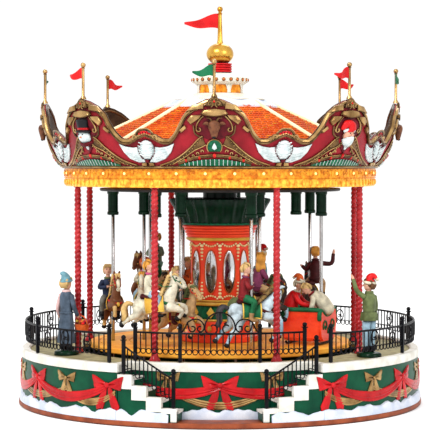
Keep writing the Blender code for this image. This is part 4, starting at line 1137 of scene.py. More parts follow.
def make_finial():
    z, tip = low("finial"), top("finial")
    neck = []
    for i in range(4):
        h = z + i * 1.8 * MM
        neck += [(8.0 * MM, h), (8.7 * MM, h + 0.5 * MM), (8.7 * MM, h + 1.3 * MM)]
    centre = z + 13.6 * MM
    bulb = [(9.9 * MM * math.cos(math.radians(a)), centre + 8 * MM * math.sin(math.radians(a)))
            for a in range(-54, 82, 8)]
    pole = [(2.4 * MM, centre + 7.6 * MM), (1.9 * MM, centre + 10 * MM), (1.3 * MM, tip - 6 * MM),
            (2.0 * MM, tip - 5.4 * MM), (1.2 * MM, tip - 4.6 * MM), (1.2 * MM, tip - 3 * MM)]
    finial = Piece("roof_finial").add(lathe(neck, 48), FLAG_RED).add(lathe(bulb, 48), GOLD)
    finial.add(lathe(pole, 16), GOLD)
    finial.add(ball((0, 0, tip - 2.1 * MM), (2.1 * MM, 2.1 * MM, 2.1 * MM)), GOLD)
    finial.add(cloth(26 * MM, 11 * MM, 0), FLAG_RED, Matrix.Translation((0, 0, tip - 17 * MM)))
    finial.make("base", "gold_paint", "finial")


def cloth(length, height, droop):
    """Pennant streaming to -X from its pole, with a travelling wave."""
    loops = []
    for share in spread(0, 1, 16):
        x = -share * length
        wave = 1.1 * MM * math.sin(7 * share) * share ** 0.5
        sag = -droop * share + 0.30 * height * share + 1.0 * MM * math.sin(6.5 * share + 0.6)
        width = height * (1 - 0.86 * share ** 1.3)
        section = []
        for v, offset in ((0, -0.3), (0.5, -0.35), (1, -0.3), (1, 0.3), (0.5, 0.35), (0, 0.3)):
            section.append(Vector((x, wave + offset * MM, sag + v * width)))
        loops.append(section)
    return loft(loops)


def make_flags():
    z0 = low("corner_flag_1")
    tip = top("corner_flag_1")
    for i in range(PEAKS):
        angle = i * SECTOR
        pole = ((2.2 * MM, z0), (2.0 * MM, z0 + 1 * MM), (1.0 * MM, z0 + 2.6 * MM),
                (0.95 * MM, tip - 4 * MM), (1.5 * MM, tip - 3.6 * MM), (1.0 * MM, tip - 3.2 * MM))
        flag = Piece(f"peak_flag_{i + 1}")
        where = Matrix.Translation(at(127.8 * MM, angle + CANOPY_TURN))
        flag.add(lathe(pole, 12), PALE_GOLD, where)
        flag.add(ball((0, 0, tip - 1.7 * MM), 1.8 * MM), PALE_GOLD, where)
        mat = FLAG_GREEN if i % 2 == 0 and i != 4 else FLAG_RED
        streaming = facing(angle, at(127.8 * MM, angle + CANOPY_TURN, tip - 12 * MM))
        flag.add(cloth(14.5 * MM, 8 * MM, 0), mat, streaming)
        flag.make("base", "flag_green" if mat is FLAG_GREEN else "flag_red", f"corner_flag_{i + 1}")


# ---------------------------------------------------------------- turntable and centre

def make_turntable():
    table = Piece("turntable_floor")
    z0, z1 = low("turntable"), top("turntable")
    hub = z1 - 4 * MM
    soft = 0.7 * MM
    profile = [(4.3 * MM, z0), (12 * MM, z0), (12 * MM, hub), (TABLE_R - soft, hub),
               (TABLE_R, hub + soft), (TABLE_R, z1 - soft), (TABLE_R - soft, z1)]
    for groove in (88, 66):
        r = groove * MM
        profile += [(r + 0.7 * MM, z1), (r + 0.3 * MM, z1 - 0.6 * MM),
                    (r - 0.3 * MM, z1 - 0.6 * MM), (r - 0.7 * MM, z1)]
    profile += [(4.3 * MM, z1)]
    table.add(lathe(profile, 128, ring=True), WOOD)
    table.make("rotor", "wood_orange", "turntable")


def make_centre_column():
    """Ten-sided column with an oval mirror on each side."""
    centre = Piece("mirror_column")
    z = low("centre_column")
    sides = 10
    flat = 22 * math.cos(math.pi / sides)
    plinth = [(30, z / MM), (30, 48.4), (29.2, 49), (24.6, 49.5),
              (24, 50), (24, 58.6), (23.4, 59.6), (22.4, 60)]
    cornice = [(22, 116.7), (23.4, 117.6)]
    for step in range(4):                       # ridges of the red cornice
        r, h = 24.0 + step * 0.85, 120.6 + step * 2
        cornice += [(r, h), (r + 0.7, h + 0.5), (r + 0.7, h + 1.3), (r + 0.2, h + 1.8)]
    cornice += [(27.2, 128.6), (4.3, 128.6)]
    for profile, segments in ((plinth, 60), ([(22, 73), (22, 117)], sides), (cornice, 60)):
        centre.add(lathe([(r * MM, h * MM) for r, h in profile], segments), PANEL_RED)
    centre.add(lathe(((22.5 * MM, 60 * MM), (22.5 * MM, 71 * MM)), sides), LEAF)
    for height, radius, size in ((60.4, 23.2, 0.8), (72.2, 23.2, 1.3),
                                 (74.4, 22.6, 0.6), (118.9, 23.6, 1.2)):
        ring = [at(radius * MM, a, height * MM) for a in spread(0, 360, 40)[:-1]]
        centre.add(tube(ring, size * MM, sides=8, steps=1, ring=True), YELLOW)
    for i in range(sides):
        angle = 360 * (i + 0.5) / sides
        place = facing(angle, at(flat * MM, angle))
        oval = [(4.6 * math.cos(t), 95.3 + 15.6 * math.copysign(abs(math.sin(t)) ** 0.9, math.sin(t)))
                for t in turns(28)]
        centre.add(relief(oval, 1, 0.5), MIRROR, place)
        centre.add(tube(trace(oval, 1, 0.5), 0.4 * MM, sides=6, steps=1, ring=True, up=(0, 1, 0)),
                   ORANGE, place)
        for level, drop in ((77.2, 1), (114.6, -1)):
            for x in spread(-5, 5, 6):          # a swag of beads over and under the mirror
                height = level + drop * (0.9 - 0.075 * x * x)
                centre.add(ball(Vector((x, -0.4, height)) * MM, 0.78 * MM, 5, 8), PEARL_GOLD, place)
        diamond = [(0, 61.4), (3.1, 65.6), (0, 70), (-3.1, 65.6)]
        lower = facing(angle, at(22.5 * math.cos(math.pi / sides) * MM, angle))
        centre.add(relief(diamond, 1, 1.0), YELLOW, lower)
        edge = 360 * i / sides
        for k in range(5):                      # beads that shrink away from each end
            size = (1.45 - 0.16 * k) * MM
            for level in (77.4 + 2.5 * k, 114.2 - 2.5 * k):
                centre.add(ball(at(22 * MM, edge, level * MM), (size, size, size * 0.8), 6, 10),
                           PEARL_GOLD)
        centre.add(ball(at(24.5 * MM, angle, 54.4 * MM), (1.6 * MM, 1.6 * MM, 2.2 * MM), 7, 10), YELLOW)
    centre.make("rotor", "red_lacquer", "centre_column")


def make_bell():
    """Pleated drape over the column, up to the disc that carries the poles."""
    bell = Piece("bell_drape")
    z = low("bell_canopy")
    folds = 24
    rows = []
    for radius, height in ((28.5, z / MM), (29, 131), (30.5, 136),
                           (33, 141.5), (35.6, 146), (35.6, 147.6), (33, 148.2)):
        row = []
        for j in range(folds * 6):
            wave = 0.035 * math.cos(2 * math.pi * j / 6) if radius > 28.6 else 0
            row.append(at(radius * (1 + wave) * MM, 360 * j / (folds * 6), height * MM))
        rows.append(row)
    bell.add(loft(rows), DARK_GREEN)
    rim = [at(28.9 * MM, a, z + 1.0 * MM) for a in spread(0, 360, 60)[:-1]]
    bell.add(tube(rim, 0.8 * MM, sides=6, steps=1, ring=True), LEAF)
    neck = ((12.4 * MM, 148 * MM), (12.4 * MM, top("bell_canopy")))
    bell.add(lathe(neck, 32), DARK_GREEN)
    bell.make("rotor", "dark_green", "bell_canopy", crease=60)


def make_upper_disc():
    """Disc with a sleeve for each pole."""
    disc = Piece("turning_disc")
    z, z1 = 153.5 * MM, top("upper_disc")
    radius = reach("upper_disc")
    plate = ((4.3 * MM, z), (radius - 0.6 * MM, z), (radius, z + 0.6 * MM), (radius, z1 - 0.4 * MM),
             (radius - 0.4 * MM, z1), (4.3 * MM, z1))
    disc.add(lathe(plate, 96, ring=True), BLACK)
    sleeve_low = low("upper_disc")
    sleeve = ((1.7 * MM, z), (1.7 * MM, sleeve_low), (3.8 * MM, sleeve_low),
              (4.2 * MM, sleeve_low + 0.6 * MM), (4.2 * MM, sleeve_low + 2 * MM),
              (3.7 * MM, sleeve_low + 2.6 * MM), (3.7 * MM, z - 2.6 * MM),
              (4.2 * MM, z - 2 * MM), (4.4 * MM, z + 0.3 * MM))
    for spot in pole_spots():
        disc.add(lathe(sleeve, 20, ring=True), DARK_GREEN, Matrix.Translation(spot))
    disc.make("rotor", "dark_green", "upper_disc")


def pole_spots():
    """Where the poles of the riders, of the sleigh and of the free inner place meet the disc."""
    spots = [at(OUTER_R, angle) for angle in (*OUTER, SLEIGH_ANGLE)]
    return spots + [at(INNER_R, angle) for angle in (*INNER, 90)]


OUTER_R, INNER_R, SLEIGH_ANGLE = 78 * MM, 55.5 * MM, 68
OUTER, INNER = (-86, -35, 16, 120, 171, -137), (-90, -30, 30, 150, 210)


# ---------------------------------------------------------------- horses and people

def limb(points, radii, sides=10, wide=1.0, steps=3):
    """Tube through points, with radii, in millimetres."""
    return tube(mm(*points), [r * MM for r in radii], sides, wide, steps)


def egg(centre, size, rings=8, sides=12):
    return ball(Vector(centre) * MM, [s * MM for s in size], rings, sides)


def hoop(piece, where, mat, centre, radii, thick, count=12, tilt=0.0, sides=6):
    """Level ring round a body, in millimetres; tilt lifts its front and drops its back."""
    x, y, z = centre
    ring = mm(*((x + radii[0] * math.cos(t), y + radii[1] * math.sin(t), z + tilt * math.cos(t))
                for t in turns(count)))
    piece.add(tube(ring, thick * MM, sides, steps=1, ring=True), mat, where)


def head(piece, where, hair, hat=None, long=False, hat_mat=None, trim=None):
    """Plain head that faces local +X, about 8 mm high; hat is None, "beanie" or "soft"."""
    piece.add(egg((0, 0, 0), (3.2, 2.8, 3.6), 10, 14), SKIN, where)
    piece.add(egg((0.7, 0, -1.8), (2.3, 2.0, 1.9)), SKIN, where)
    piece.add(limb([(3.0, 0, 0.9), (3.6, 0, -0.4), (3.1, 0, -0.7)], [0.3, 0.55, 0.3], 6), SKIN, where)
    piece.add(egg((2.75, 0, -1.85), (0.35, 0.85, 0.22), 5, 8), LIP, where)
    for side in (-1, 1):
        piece.add(egg((2.75, side * 1.15, 0.55), (0.4, 0.42, 0.32), 5, 8), COAL, where)
        piece.add(limb([(2.9, side * 0.6, 1.35), (2.65, side * 1.7, 1.3)], [0.2, 0.14], 5), hair, where)
        piece.add(egg((0, side * 2.8, -0.1), (0.7, 0.4, 1.0), 5, 8), SKIN, where)
    piece.add(limb([(0, 0, -3), (-0.4, 0, -5.6)], [1.6, 1.8], 8), SKIN, where)
    piece.add(egg((-0.8, 0, 0.9), (3.3, 3.1, 3.35), 9, 14), hair, where)
    for i in range(7):
        y = (i - 3) * 0.85
        lock = [(-1.5, y * 0.5, 4.2), (1.6, y * 0.9, 3.5), (2.6 - 0.12 * y * y, y * 1.1, 2.0)]
        piece.add(limb(lock, [0.7, 0.75, 0.25], 6), hair, where)
        back = [(-2.4, y, 3), (-3.9 + 0.1 * y * y, y, 0), (-3.2 + 0.1 * y * y, y * 0.9, -2.6)]
        if long:
            back += [(-4.4 + 0.1 * y * y, y * 1.1, -6), (-3.8, y * 0.9, -9)]
        piece.add(limb(back, [0.6] + [0.9] * (len(back) - 2) + [0.3], 6), hair, where)
    if hat == "beanie":
        peak = [(-0.6, 0, 1.6), (-0.9, 0.2, 4.0), (-2.2, 0.8, 6.2), (-3.6, 1.6, 6.6)]
        piece.add(limb(peak, [3.7, 3.0, 1.9, 1.0], 14), hat_mat, where)
        hoop(piece, where, hat_mat, (-0.6, -0.3, 1.9), (3.6, 3.4), 0.6, 16, tilt=0.4)
    elif hat:
        hoop(piece, where, trim, (-0.5, 0, 1.7), (3.3, 3.3), 0.95, 14, tilt=0.5, sides=8)
        tip = [(-0.6, 0, 2.2), (-1.2, 0, 4.8), (-3.4, 0, 5.8), (-5.6, 0, 3.6)]
        piece.add(limb(tip, [3.2, 2.7, 1.7, 0.8]), hat_mat, where)
        piece.add(egg(tip[-1], (1.2, 1.2, 1.2)), trim, where)


def arm(piece, where, mat, shoulder, elbow, hand, cuff=None):
    wrist = [h + (e - h) * 0.22 for h, e in zip(hand, elbow)]
    piece.add(limb([shoulder, elbow, wrist], [2.0, 1.7, 1.35], 10, steps=4), mat, where)
    piece.add(limb([wrist, hand], [1.15, 0.95], 8), SKIN, where)
    piece.add(limb([[h + (w - h) * 0.3 for h, w in zip(hand, wrist)],
                    [h + (h - w) * 0.5 + 0.2 for h, w in zip(hand, wrist)]], [0.9, 0.5], 8, wide=1.3),
              SKIN, where)
    if cuff:
        piece.add(limb([[w + (e - w) * 0.1 for w, e in zip(wrist, elbow)], wrist], [1.6, 1.6], 10),
                  cuff, where)


def rider(piece, where, look, hair, jacket, trousers, boots, arms="pole", collar=None, **style):
    """Person astride: local origin on the saddle, facing +X."""
    lean = turned(4, "Y")
    body = where @ lean
    piece.add(limb([(0, 0, -0.5), (-0.6, 0, 4), (-0.2, 0, 9), (0.2, 0, 13), (0.1, 0, 15.2)],
                   [4.2, 3.5, 3.9, 3.3, 1.6], 14, wide=1.15), jacket, body)
    hoop(piece, body, jacket, (-0.2, 0, 1.2), (3.9, 4.6), 0.8, 16)
    hoop(piece, body, collar or jacket, (0, 0, 15), (1.9, 2.1), 0.95, tilt=-0.4)
    for x in (4, 7, 10, 13):
        piece.add(egg((3.55 if x < 9 else 3.7, 0, x), (0.45, 0.45, 0.45), 5, 8), PALE_GOLD, body)
    for side in (-1, 1):
        piece.add(limb([(0.5, side * 2.6, 0.5), (5.4, side * 5.2, -1.6), (6.2, side * 6, -3.4),
                        (4.6, side * 6, -9), (4.4, side * 6, -11)], [3.0, 2.5, 2.2, 1.7, 1.6], 10),
                  trousers, where)
        piece.add(limb([(4.5, side * 6, -9.6), (4.2, side * 6, -13.2), (5.2, side * 6, -14.4),
                        (8, side * 6.2, -14.8)], [1.8, 1.5, 1.5, 1.0], 8), boots, where)
    grip = 11
    poses = {"pole": ((5.2, 1.0, grip), (5.2, -0.8, grip - 2.4)), "wave": ((3, 10.5, 11), (1, -14, 21.5)),
             "reins": ((6.4, 2, 6), (6.4, -2, 6))}[arms]
    for side, hand in zip((1, -1), poses):
        elbow = (0.5, side * 12, 12.6) if hand[2] > 15 else (2, side * 6.6, 8.2)
        arm(piece, body, jacket, (-0.2, side * 3.8, 12.6), elbow, hand)
    face = body @ shifted(0.2, 0, 20.6) @ turned(look)
    head(piece, face, hair, **style)


def horse(piece, where, coat, mane, tack, blanket, muzzle=None, sock=None,
          tail=None, step=1, bow=0, nod=0, stretch=1.0):
    """Galloping horse facing local +X, its body's centre at the origin; a bowed head looks down."""
    muzzle, sock, tail = muzzle or coat, sock or coat, tail or mane
    piece.add(limb([(-14.6, 0, 0.6), (-12, 0, 1.2), (-6, 0, 0.6), (0, 0, -0.2),
                    (6, 0, 0.2), (11, 0, 1.6)], [3.2, 5.6, 5.8, 5.4, 5.9, 5.0], 16, 0.86), coat, where)
    neck = where @ shifted(9, 0, 4) @ turned(bow, "Y")
    piece.add(limb([(-1.4, 0, -2.4), (2.6, 0, 4), (5.4, 0, 10), (5.8, 0, 13.4)],
                   [5.4, 4.3, 3.1, 2.5], 14, 0.74), coat, neck)
    face = neck @ shifted(5.4, 0, 13.2) @ turned(nod, "Y")
    piece.add(limb([(-1, 0, 1.0), (2, 0, 0.4), (4.9, 0, -3.4), (6.8, 0, -6.4)],
                   [2.3, 3.0, 2.3, 1.8], 12, 0.8), coat, face)
    piece.add(limb([(2.6, 0, 2.3), (5.6, 0, -1.2), (7.4, 0, -4.4)], [0.8, 1.4, 1.1], 8, 1.1),
              muzzle, face)
    piece.add(egg((7.2, 0, -6.0), (1.6, 1.6, 1.7)), muzzle, face)
    for side in (-1, 1):
        piece.add(limb([(-0.6, side * 1.3, 2.2), (-0.4, side * 1.9, 4.8), (0.3, side * 1.8, 6)],
                       [1.0, 0.9, 0.2], 6), coat, face)
        piece.add(egg((2.8, side * 2.15, 0.6), (0.75, 0.4, 0.65), 6, 8), COAL, face)
        piece.add(egg((8.3, side * 0.85, -5.6), (0.4, 0.35, 0.4), 5, 6), COAL, face)
        for i in range(7):
            share = i / 6
            x, z = 4.8 - 6.4 * share, 15.6 - 11.5 * share
            lock = [(x, side * 0.4, z), (x - 2.2, side * 2.0, z + 0.5),
                    (x - 3.4, side * (2.5 + share), z - 2.6),
                    (x - 5.4 - i % 2, side * (2.9 + share), z - 4 - 1.6 * (i % 2))]
            piece.add(limb(lock, [1.1, 1.2, 1.0, 0.3], 7), mane, neck)
        piece.add(limb([(1.2, side * 2.5, 0.2), (5.0, side * 2.1, -3)], [0.32, 0.32], 5), tack, face)
        piece.add(egg((5.1, side * 2.2, -3.1), (0.6, 0.3, 0.6), 5, 8), YELLOW, face)
    for y in (-0.9, 0.1, 1.0):
        piece.add(limb([(-0.8, y, 3), (2.2, y * 1.3, 3.6), (4.4, y * 1.4, 1.2)], [1.0, 1.0, 0.25], 6),
                  mane, face)
    for x, z, r in ((5.2, -3, 2.5), (1.2, 0.3, 2.95)):
        strap = [(x - 0.3 * r * math.sin(t), 0.84 * r * math.cos(t), z + r * math.sin(t))
                 for t in turns(12)]
        piece.add(tube(mm(*strap), 0.34 * MM, 5, steps=1, ring=True), tack, face)
    legs = (
        ((9.5, 2.6, -1.4), (14.6, 3.4, -3.6), (18.8, 3.4, -7.2), (17, 3.4, -11), (15.6, 3.4, -12.4)),
        ((9.5, -2.6, -1.4), (15, -3.4, -2), (20, -3.4, -3.2), (20.6, -3.4, -8), (19.4, -3.4, -10)),
        ((-12, 2.8, -0.6), (-14.4, 3.4, -6), (-19, 3.4, -8.4), (-22.6, 3.4, -11.4),
         (-23.8, 3.4, -12.4)),
        ((-11, -2.8, -1.2), (-10.4, -3.4, -7), (-14.4, -3.4, -9.6), (-16.4, -3.4, -13),
         (-17, -3.4, -14)))
    for leg in legs:
        leg = [(x, y * step, z * stretch) for x, y, z in leg]
        piece.add(limb(leg[:3], [4.1, 2.7, 1.8], 10), coat, where)
        piece.add(limb(leg[2:], [1.7, 1.3, 1.5], 8), sock, where)
        tip = Vector(leg[-1]) + (Vector(leg[-1]) - Vector(leg[-2])).normalized() * 1.8
        piece.add(limb([leg[-1], tip], [1.6, 2.1], 8), COAL, where)
    for y in (-1.5, -0.5, 0.5, 1.5):
        lock = [(-15.8, 0, 3), (-19.6, y, 4.4), (-22.4, y * 1.8, 0.6),
                (-22, y * 2.2, -5.4), (-24.6, y * 1.8, -9.6 + y)]
        piece.add(limb(lock, [1.3, 1.8, 2.0, 1.6, 0.3], 7), tail, where)
    arcs, seam = [], []
    for x in spread(-6.2, 6.2, 5):
        flare_out = 1.03 + 0.004 * x * x
        outer = [(x, 5.4 * flare_out * math.sin(t), -0.1 + 6.5 * flare_out * math.cos(t))
                 for t in map(math.radians, spread(-118, 118, 12))]
        inner = [(x, y * 0.84, z * 0.84) for _, y, z in outer[::-1]]
        arcs.append(mm(*outer, *inner))
        seam.append(outer)
    piece.add(loft(arcs), blanket, where)
    for border in (seam[0], seam[-1], [row[0] for row in seam], [row[-1] for row in seam]):
        piece.add(limb(border, [0.5] * len(border), 6, steps=1), YELLOW, where)
    piece.add(limb([(-9, 0, 8), (-5, 0, 7), (1.4, 0, 7.2)], [2.0, 1.6, 1.6], 10, 2.0), LEATHER, where)
    breast = [(5.6, 4.9, 2.8), (10.4, 4.4, 0.6), (14, 2.8, -0.6), (16.0, 0, -1)]
    breast += [(x, -y, z) for x, y, z in breast[-2::-1]]
    piece.add(limb(breast, [1.1] * len(breast), 7, 0.7, steps=3), tack, where)
    piece.add(egg((16.4, 0, -1.4), (0.8, 1.4, 1.7)), YELLOW, where)
    for side in (-1, 1):
        rein = [(13.6, side * 2.4, 13), (8, side * 3.6, 13), (4, side, 15)]
        piece.add(limb(rein, [0.3] * 3, 5), tack, where)


# Per rider: the horse's looks; its turn about the pole, its pitch and its body's height over the
# level of the CAD horse's hooves; the person's looks; and the seat's place on the horse.
RIDERS = {
    "outer_1": (
        dict(coat=BAY, mane=STRAW, tack=FLAG_RED, blanket=NAVY, muzzle=IVORY, sock=STRAW, nod=18),
        (12, -8, 13),
        dict(look=-6, hair=BLOND, jacket=NAVY, trousers=GREY, boots=COAL, collar=OLIVE),
        (-7, -2, 4.6)),
    "outer_2": (
        dict(coat=MILK, mane=STRAW, tack=EMERALD, blanket=YELLOW, nod=-4, stretch=0.75),
        (28, -7, 13),
        dict(look=-10, hair=GINGER, jacket=IVORY, trousers=ICE, boots=COAL, collar=PINK),
        (-3, 2, 8)),
    "outer_3": (
        dict(coat=FROST, mane=MOSS, tail=SMOKE, tack=LEATHER, blanket=EMERALD,
             sock=ICE, stretch=1.5, bow=16, nod=46),
        (-8, 0, 22.5),
        dict(look=-8, hair=BLOND, jacket=WINE, trousers=EMERALD, boots=TAN, collar=PURPLE),
        (-5, 0, 9.8)),
    "outer_4": (
        dict(coat=BAY, mane=DUSK, tack=FLAG_RED, blanket=EMERALD),
        (-30, 0, 17),
        dict(look=0, hair=GINGER, jacket=LEATHER, trousers=TAN, boots=COAL, arms="wave"),
        (-5, -4, 10)),
    "outer_5": (
        dict(coat=MILK, mane=STRAW, tack=WINE, blanket=ICE),
        (0, 0, 17),
        dict(look=0, hair=BROWN_HAIR, jacket=EMERALD, trousers=NAVY, boots=COAL, collar=IVORY),
        (-5, 0, 7.4)),
    "outer_6": (
        dict(coat=BAY, mane=STRAW, tack=LEATHER, blanket=PURPLE, bow=6),
        (16, 0, 21),
        dict(look=0, hair=GINGER, jacket=SAGE, trousers=EMERALD, boots=LEATHER),
        (-9, 0, 11)),
    "inner_1": (
        dict(coat=MILK, mane=GINGER, tack=EMERALD, blanket=PINK, nod=10),
        (-4, -4, 14),
        dict(look=20, hair=ORANGE, jacket=IVORY, trousers=ICE, boots=COAL, collar=PINK),
        (-5, 0, 7)),
    "inner_2": (
        dict(coat=BUFF, mane=OLIVE, tack=FLAG_RED, blanket=WINE, bow=-6, nod=-10),
        (-19, 0, 16),
        dict(look=0, hair=BLOND, jacket=SAGE, trousers=TAN, boots=LEATHER, collar=WINE),
        (-5, 0, 10)),
    "inner_3": (
        dict(coat=DUSK, mane=OLIVE, tack=WINE, blanket=TAN, sock=ICE),
        (0, 0, 22),
        dict(look=70, hair=GINGER, jacket=PURPLE, trousers=BUFF, boots=LEATHER, long=True),
        (-4, -5, 12)),
    "inner_4": (
        dict(coat=FROST, mane=SMOKE, tack=FLAG_RED, blanket=NAVY),
        (0, 0, 17),
        dict(look=0, hair=BLOND, jacket=TEAL, trousers=GREY, boots=COAL,
             hat="soft", hat_mat=FLAG_RED, trim=IVORY),
        (-5, 0, 7.4)),
    "inner_5": (
        dict(coat=BUFF, mane=DUSK, tack=EMERALD, blanket=YELLOW),
        (0, 0, 17),
        dict(look=0, hair=BLOND, jacket=ORANGE, trousers=NAVY, boots=COAL, long=True),
        (-5, 0, 7.4)),
}
POLE_BELOW = 35.3 * MM                 # from a pole's foot up to the level of the CAD horse's hooves


def make_horses():
    for ring, radius, angles in (("outer", OUTER_R, OUTER), ("inner", INNER_R, INNER)):
        for number, angle in enumerate(angles, 1):
            name = f"{ring}_{number}"
            coats, (yaw, pitch, height), person, seat = RIDERS[name]
            z0, z1 = low(f"horse_{name}"), top(f"horse_{name}")
            where = facing(angle, at(radius, angle, z0 + POLE_BELOW + height * MM))
            where = where @ turned(yaw) @ turned(pitch, "Y")
            mount = Piece(f"galloping_horse_{name}")
            horse(mount, where, step=1 if number % 2 else -1, **coats)
            rider(mount, where @ shifted(*seat), **person)
            pole = lathe(((1.0 * MM, z0), (1.25 * MM, z0 + 0.3 * MM),
                          (1.25 * MM, z1 - 0.3 * MM), (1.0 * MM, z1)), 16)
            mount.add(pole, STEEL, Matrix.Translation(at(radius, angle)))
            mount.make(f"rider_{name}", "horse_paint", f"horse_{name}", crease=60)


def make_sleigh():
    """Sleigh with a curled front, fixed to the turntable, and its two riders."""
    z = low("sleigh")
    sled = Piece("red_sleigh")
    where = facing(SLEIGH_ANGLE, at(OUTER_R, SLEIGH_ANGLE, z)) @ shifted(0, 9, 0)
    side_line = [(-15.5, 6), (-11, 2.6), (10, 2.6), (15.5, 7), (17, 14), (16.6, 22),
                 (13.5, 24.6), (8, 21.6), (0, 20), (-8, 21), (-14, 24), (-17, 22), (-17, 12)]
    for y in (-13.6, 13.6):
        wall = [[Vector((x, y + d, h)) * MM for x, h in side_line] for d in (-1.2, 1.2)]
        sled.add(loft(wall), PANEL_RED, where)
        rim = [(16.8, y, 20), (16.4, y, 23), (13.6, y, 25), (8, y, 22),
               (0, y, 20.4), (-8, y, 21.4), (-14, y, 24.6), (-17, y, 22.4), (-17.4, y, 18)]
        sled.add(limb(rim, [1.4] * len(rim), 8, wide=1.2), EMERALD, where)
        out = 1.3 * math.copysign(1, y)
        for x, h, r in ((-8, 13, 5), (8, 13, 5), (0, 9, 3.2)):
            curl = [(x + px, y + out, pz) for px, pz in spiral((0, h), (r, 0.6), 200, -200, 14)]
            sled.add(limb(curl, [0.8] * len(curl), 6, steps=1), EMERALD, where)
    hull = ((-15.5, 5), (-11, 2.2), (10, 2.2), (15.5, 6), (16, 12), (-16.4, 12))
    body = [mm(*((x, y, h) for x, h in hull)) for y in (-13, 13)]
    sled.add(loft(body), PANEL_RED, where)
    for x, height in ((-16.4, 25.6), (15.8, 25)):
        outward = math.copysign(1, x)
        section = ((x, 5), (x + 0.9 * outward, 12), (x, height - 1), (x - 2 * outward, height - 1),
                   (x - 2 * outward, 12), (x - 2 * outward, 5))
        end = [mm(*((px, y, h) for px, h in section)) for y in spread(-13, 13, 6)]
        sled.add(loft(end), PANEL_RED, where)
        cap = [(x, y, height - 0.6) for y in (-13, 0, 13)]
        sled.add(limb(cap, [1.6] * 3, 8), EMERALD, where)
    sled.add(limb([(-6, -12, 14), (-6, 0, 15), (-6, 12, 14)], [3.4] * 3, 10), WINE, where)
    sled.add(limb([(-12, -12, 20), (-12, 0, 21), (-12, 12, 20)], [2.6] * 3, 10), WINE, where)
    for y in (-12, 12):
        runner = [(-16, y, 2), (-12, y, 0.9), (12, y, 0.9), (17, y, 2.6),
                  (19, y, 6), (17.4, y, 8.6), (15.4, y, 7)]
        sled.add(limb(runner, [0.9] * len(runner), 8), IRON, where)
    seats = (
        ((-6, 10.5, 24.5), -84,
         dict(look=-14, hair=IVORY, jacket=FLAG_RED, hat="soft", hat_mat=ORANGE, trim=IVORY,
              cuff=IVORY, collar=IVORY, lean=14)),
        ((-4, -12.5, 26), 108, dict(look=6, hair=BLOND, jacket=IVORY, collar=WINE, lean=42)))
    for place, turn, style in seats:
        spot = where @ shifted(*place) @ turned(turn)
        seated(sled, spot, **style)
    pole = lathe(((1.25 * MM, z + 5 * MM), (1.25 * MM, top("sleigh"))), 16)
    sled.add(pole, STEEL, Matrix.Translation(at(OUTER_R, SLEIGH_ANGLE)))
    sled.make("rotor", "red_lacquer", "sleigh", crease=50)


def seated(piece, where, look, hair, jacket, collar=None, cuff=None, lean=0, **style):
    """Person sitting in the sleigh, seen from the waist up, leaning forward."""
    body = where @ turned(lean, "Y")
    foot = -4 if lean > 30 else -7
    piece.add(limb([(-1, 0, foot), (-1.6, 0, 0), (-2, 0, 5), (-0.8, 0, 10), (0.2, 0, 12), (0.3, 0, 13.4)],
                   [5.0, 5.2, 5.2, 4.4, 3.2, 1.6], 14, 1.12), jacket, body)
    hoop(piece, body, collar or jacket, (0, 0, 13.2), (1.9, 2.1), 1.0)
    for side in (-1, 1):
        held_out = (17, side * 3.4, 2) if lean < 30 else (13, side * 3.4, -6)
        hand = turned(-lean, "Y") @ Vector(held_out)
        arm(piece, body, jacket, (0, side * 4.2, 10.8), (6, side * 6.2, 6.4), tuple(hand), cuff)
        piece.add(limb([(0, side * 2.4, -6), (6.4, side * 2.8, -7), (7.4, side * 2.8, -12)],
                       [2.6, 2.2, 1.7], 10), jacket, where)
    face = body @ shifted(0.6, 0, 18.4) @ turned(look)
    head(piece, face, hair, **style)


def standing(piece, where, coat, trousers, look, hair, hem, arms, sleeve=None, **style):
    """Person on a green plinth, facing local +X; hem is the height of the coat's lower edge."""
    levels = ((1, 0), (1, 2), (0.9, 2.8), (0.7, 3.2))
    rows = [mm(*((9.5 * k * math.cos(t), 8 * k * math.sin(t), h) for t in turns(20)))
            for k, h in levels]
    piece.add(loft(rows), DARK_GREEN, where)
    for side in (-1, 1):
        piece.add(limb([(0, side * 2.4, 24), (0.4, side * 2.7, 14), (0, side * 2.7, 6)],
                       [3.0, 2.5, 2.1]), trousers, where)
        piece.add(limb([(-0.2, side * 2.7, 7), (0, side * 2.7, 4.6), (3.4, side * 3, 4.2)],
                       [2.2, 2.0, 1.4]), COAL, where)
    rows = []
    for h, r in ((hem, 6.3), (hem + 1, 6.6), (hem + 6, 6.0), (28, 4.9),
                 (31, 4.6), (36, 5.0), (40.5, 5.0), (43.4, 3.9), (45, 2.0)):
        fold = 0.075 if h < 27 else 0.02
        row = []
        for i in range(36):
            t = 2 * math.pi * i / 36
            k = r * (1 + fold * math.cos(6 * t))
            row.append(Vector((k * 0.82 * math.cos(t), k * math.sin(t), h)) * MM)
        rows.append(row)
    piece.add(loft(rows), coat, where)
    hoop(piece, where, coat, (0, 0, 29.4), (4.2, 5.0), 0.6, 18)
    hoop(piece, where, sleeve or coat, (0, 0, 44.6), (2.1, 2.3), 1.1)
    for side, (elbow, hand) in zip((1, -1), arms):
        arm(piece, where, sleeve if sleeve and side == 1 else coat, (0, side * 4.6, 41.6), elbow, hand)
    face = where @ shifted(0.4, 0, 49.6) @ turned(look)
    face = face @ Matrix.Scale(1.12, 4)
    head(piece, face, hair, **style)


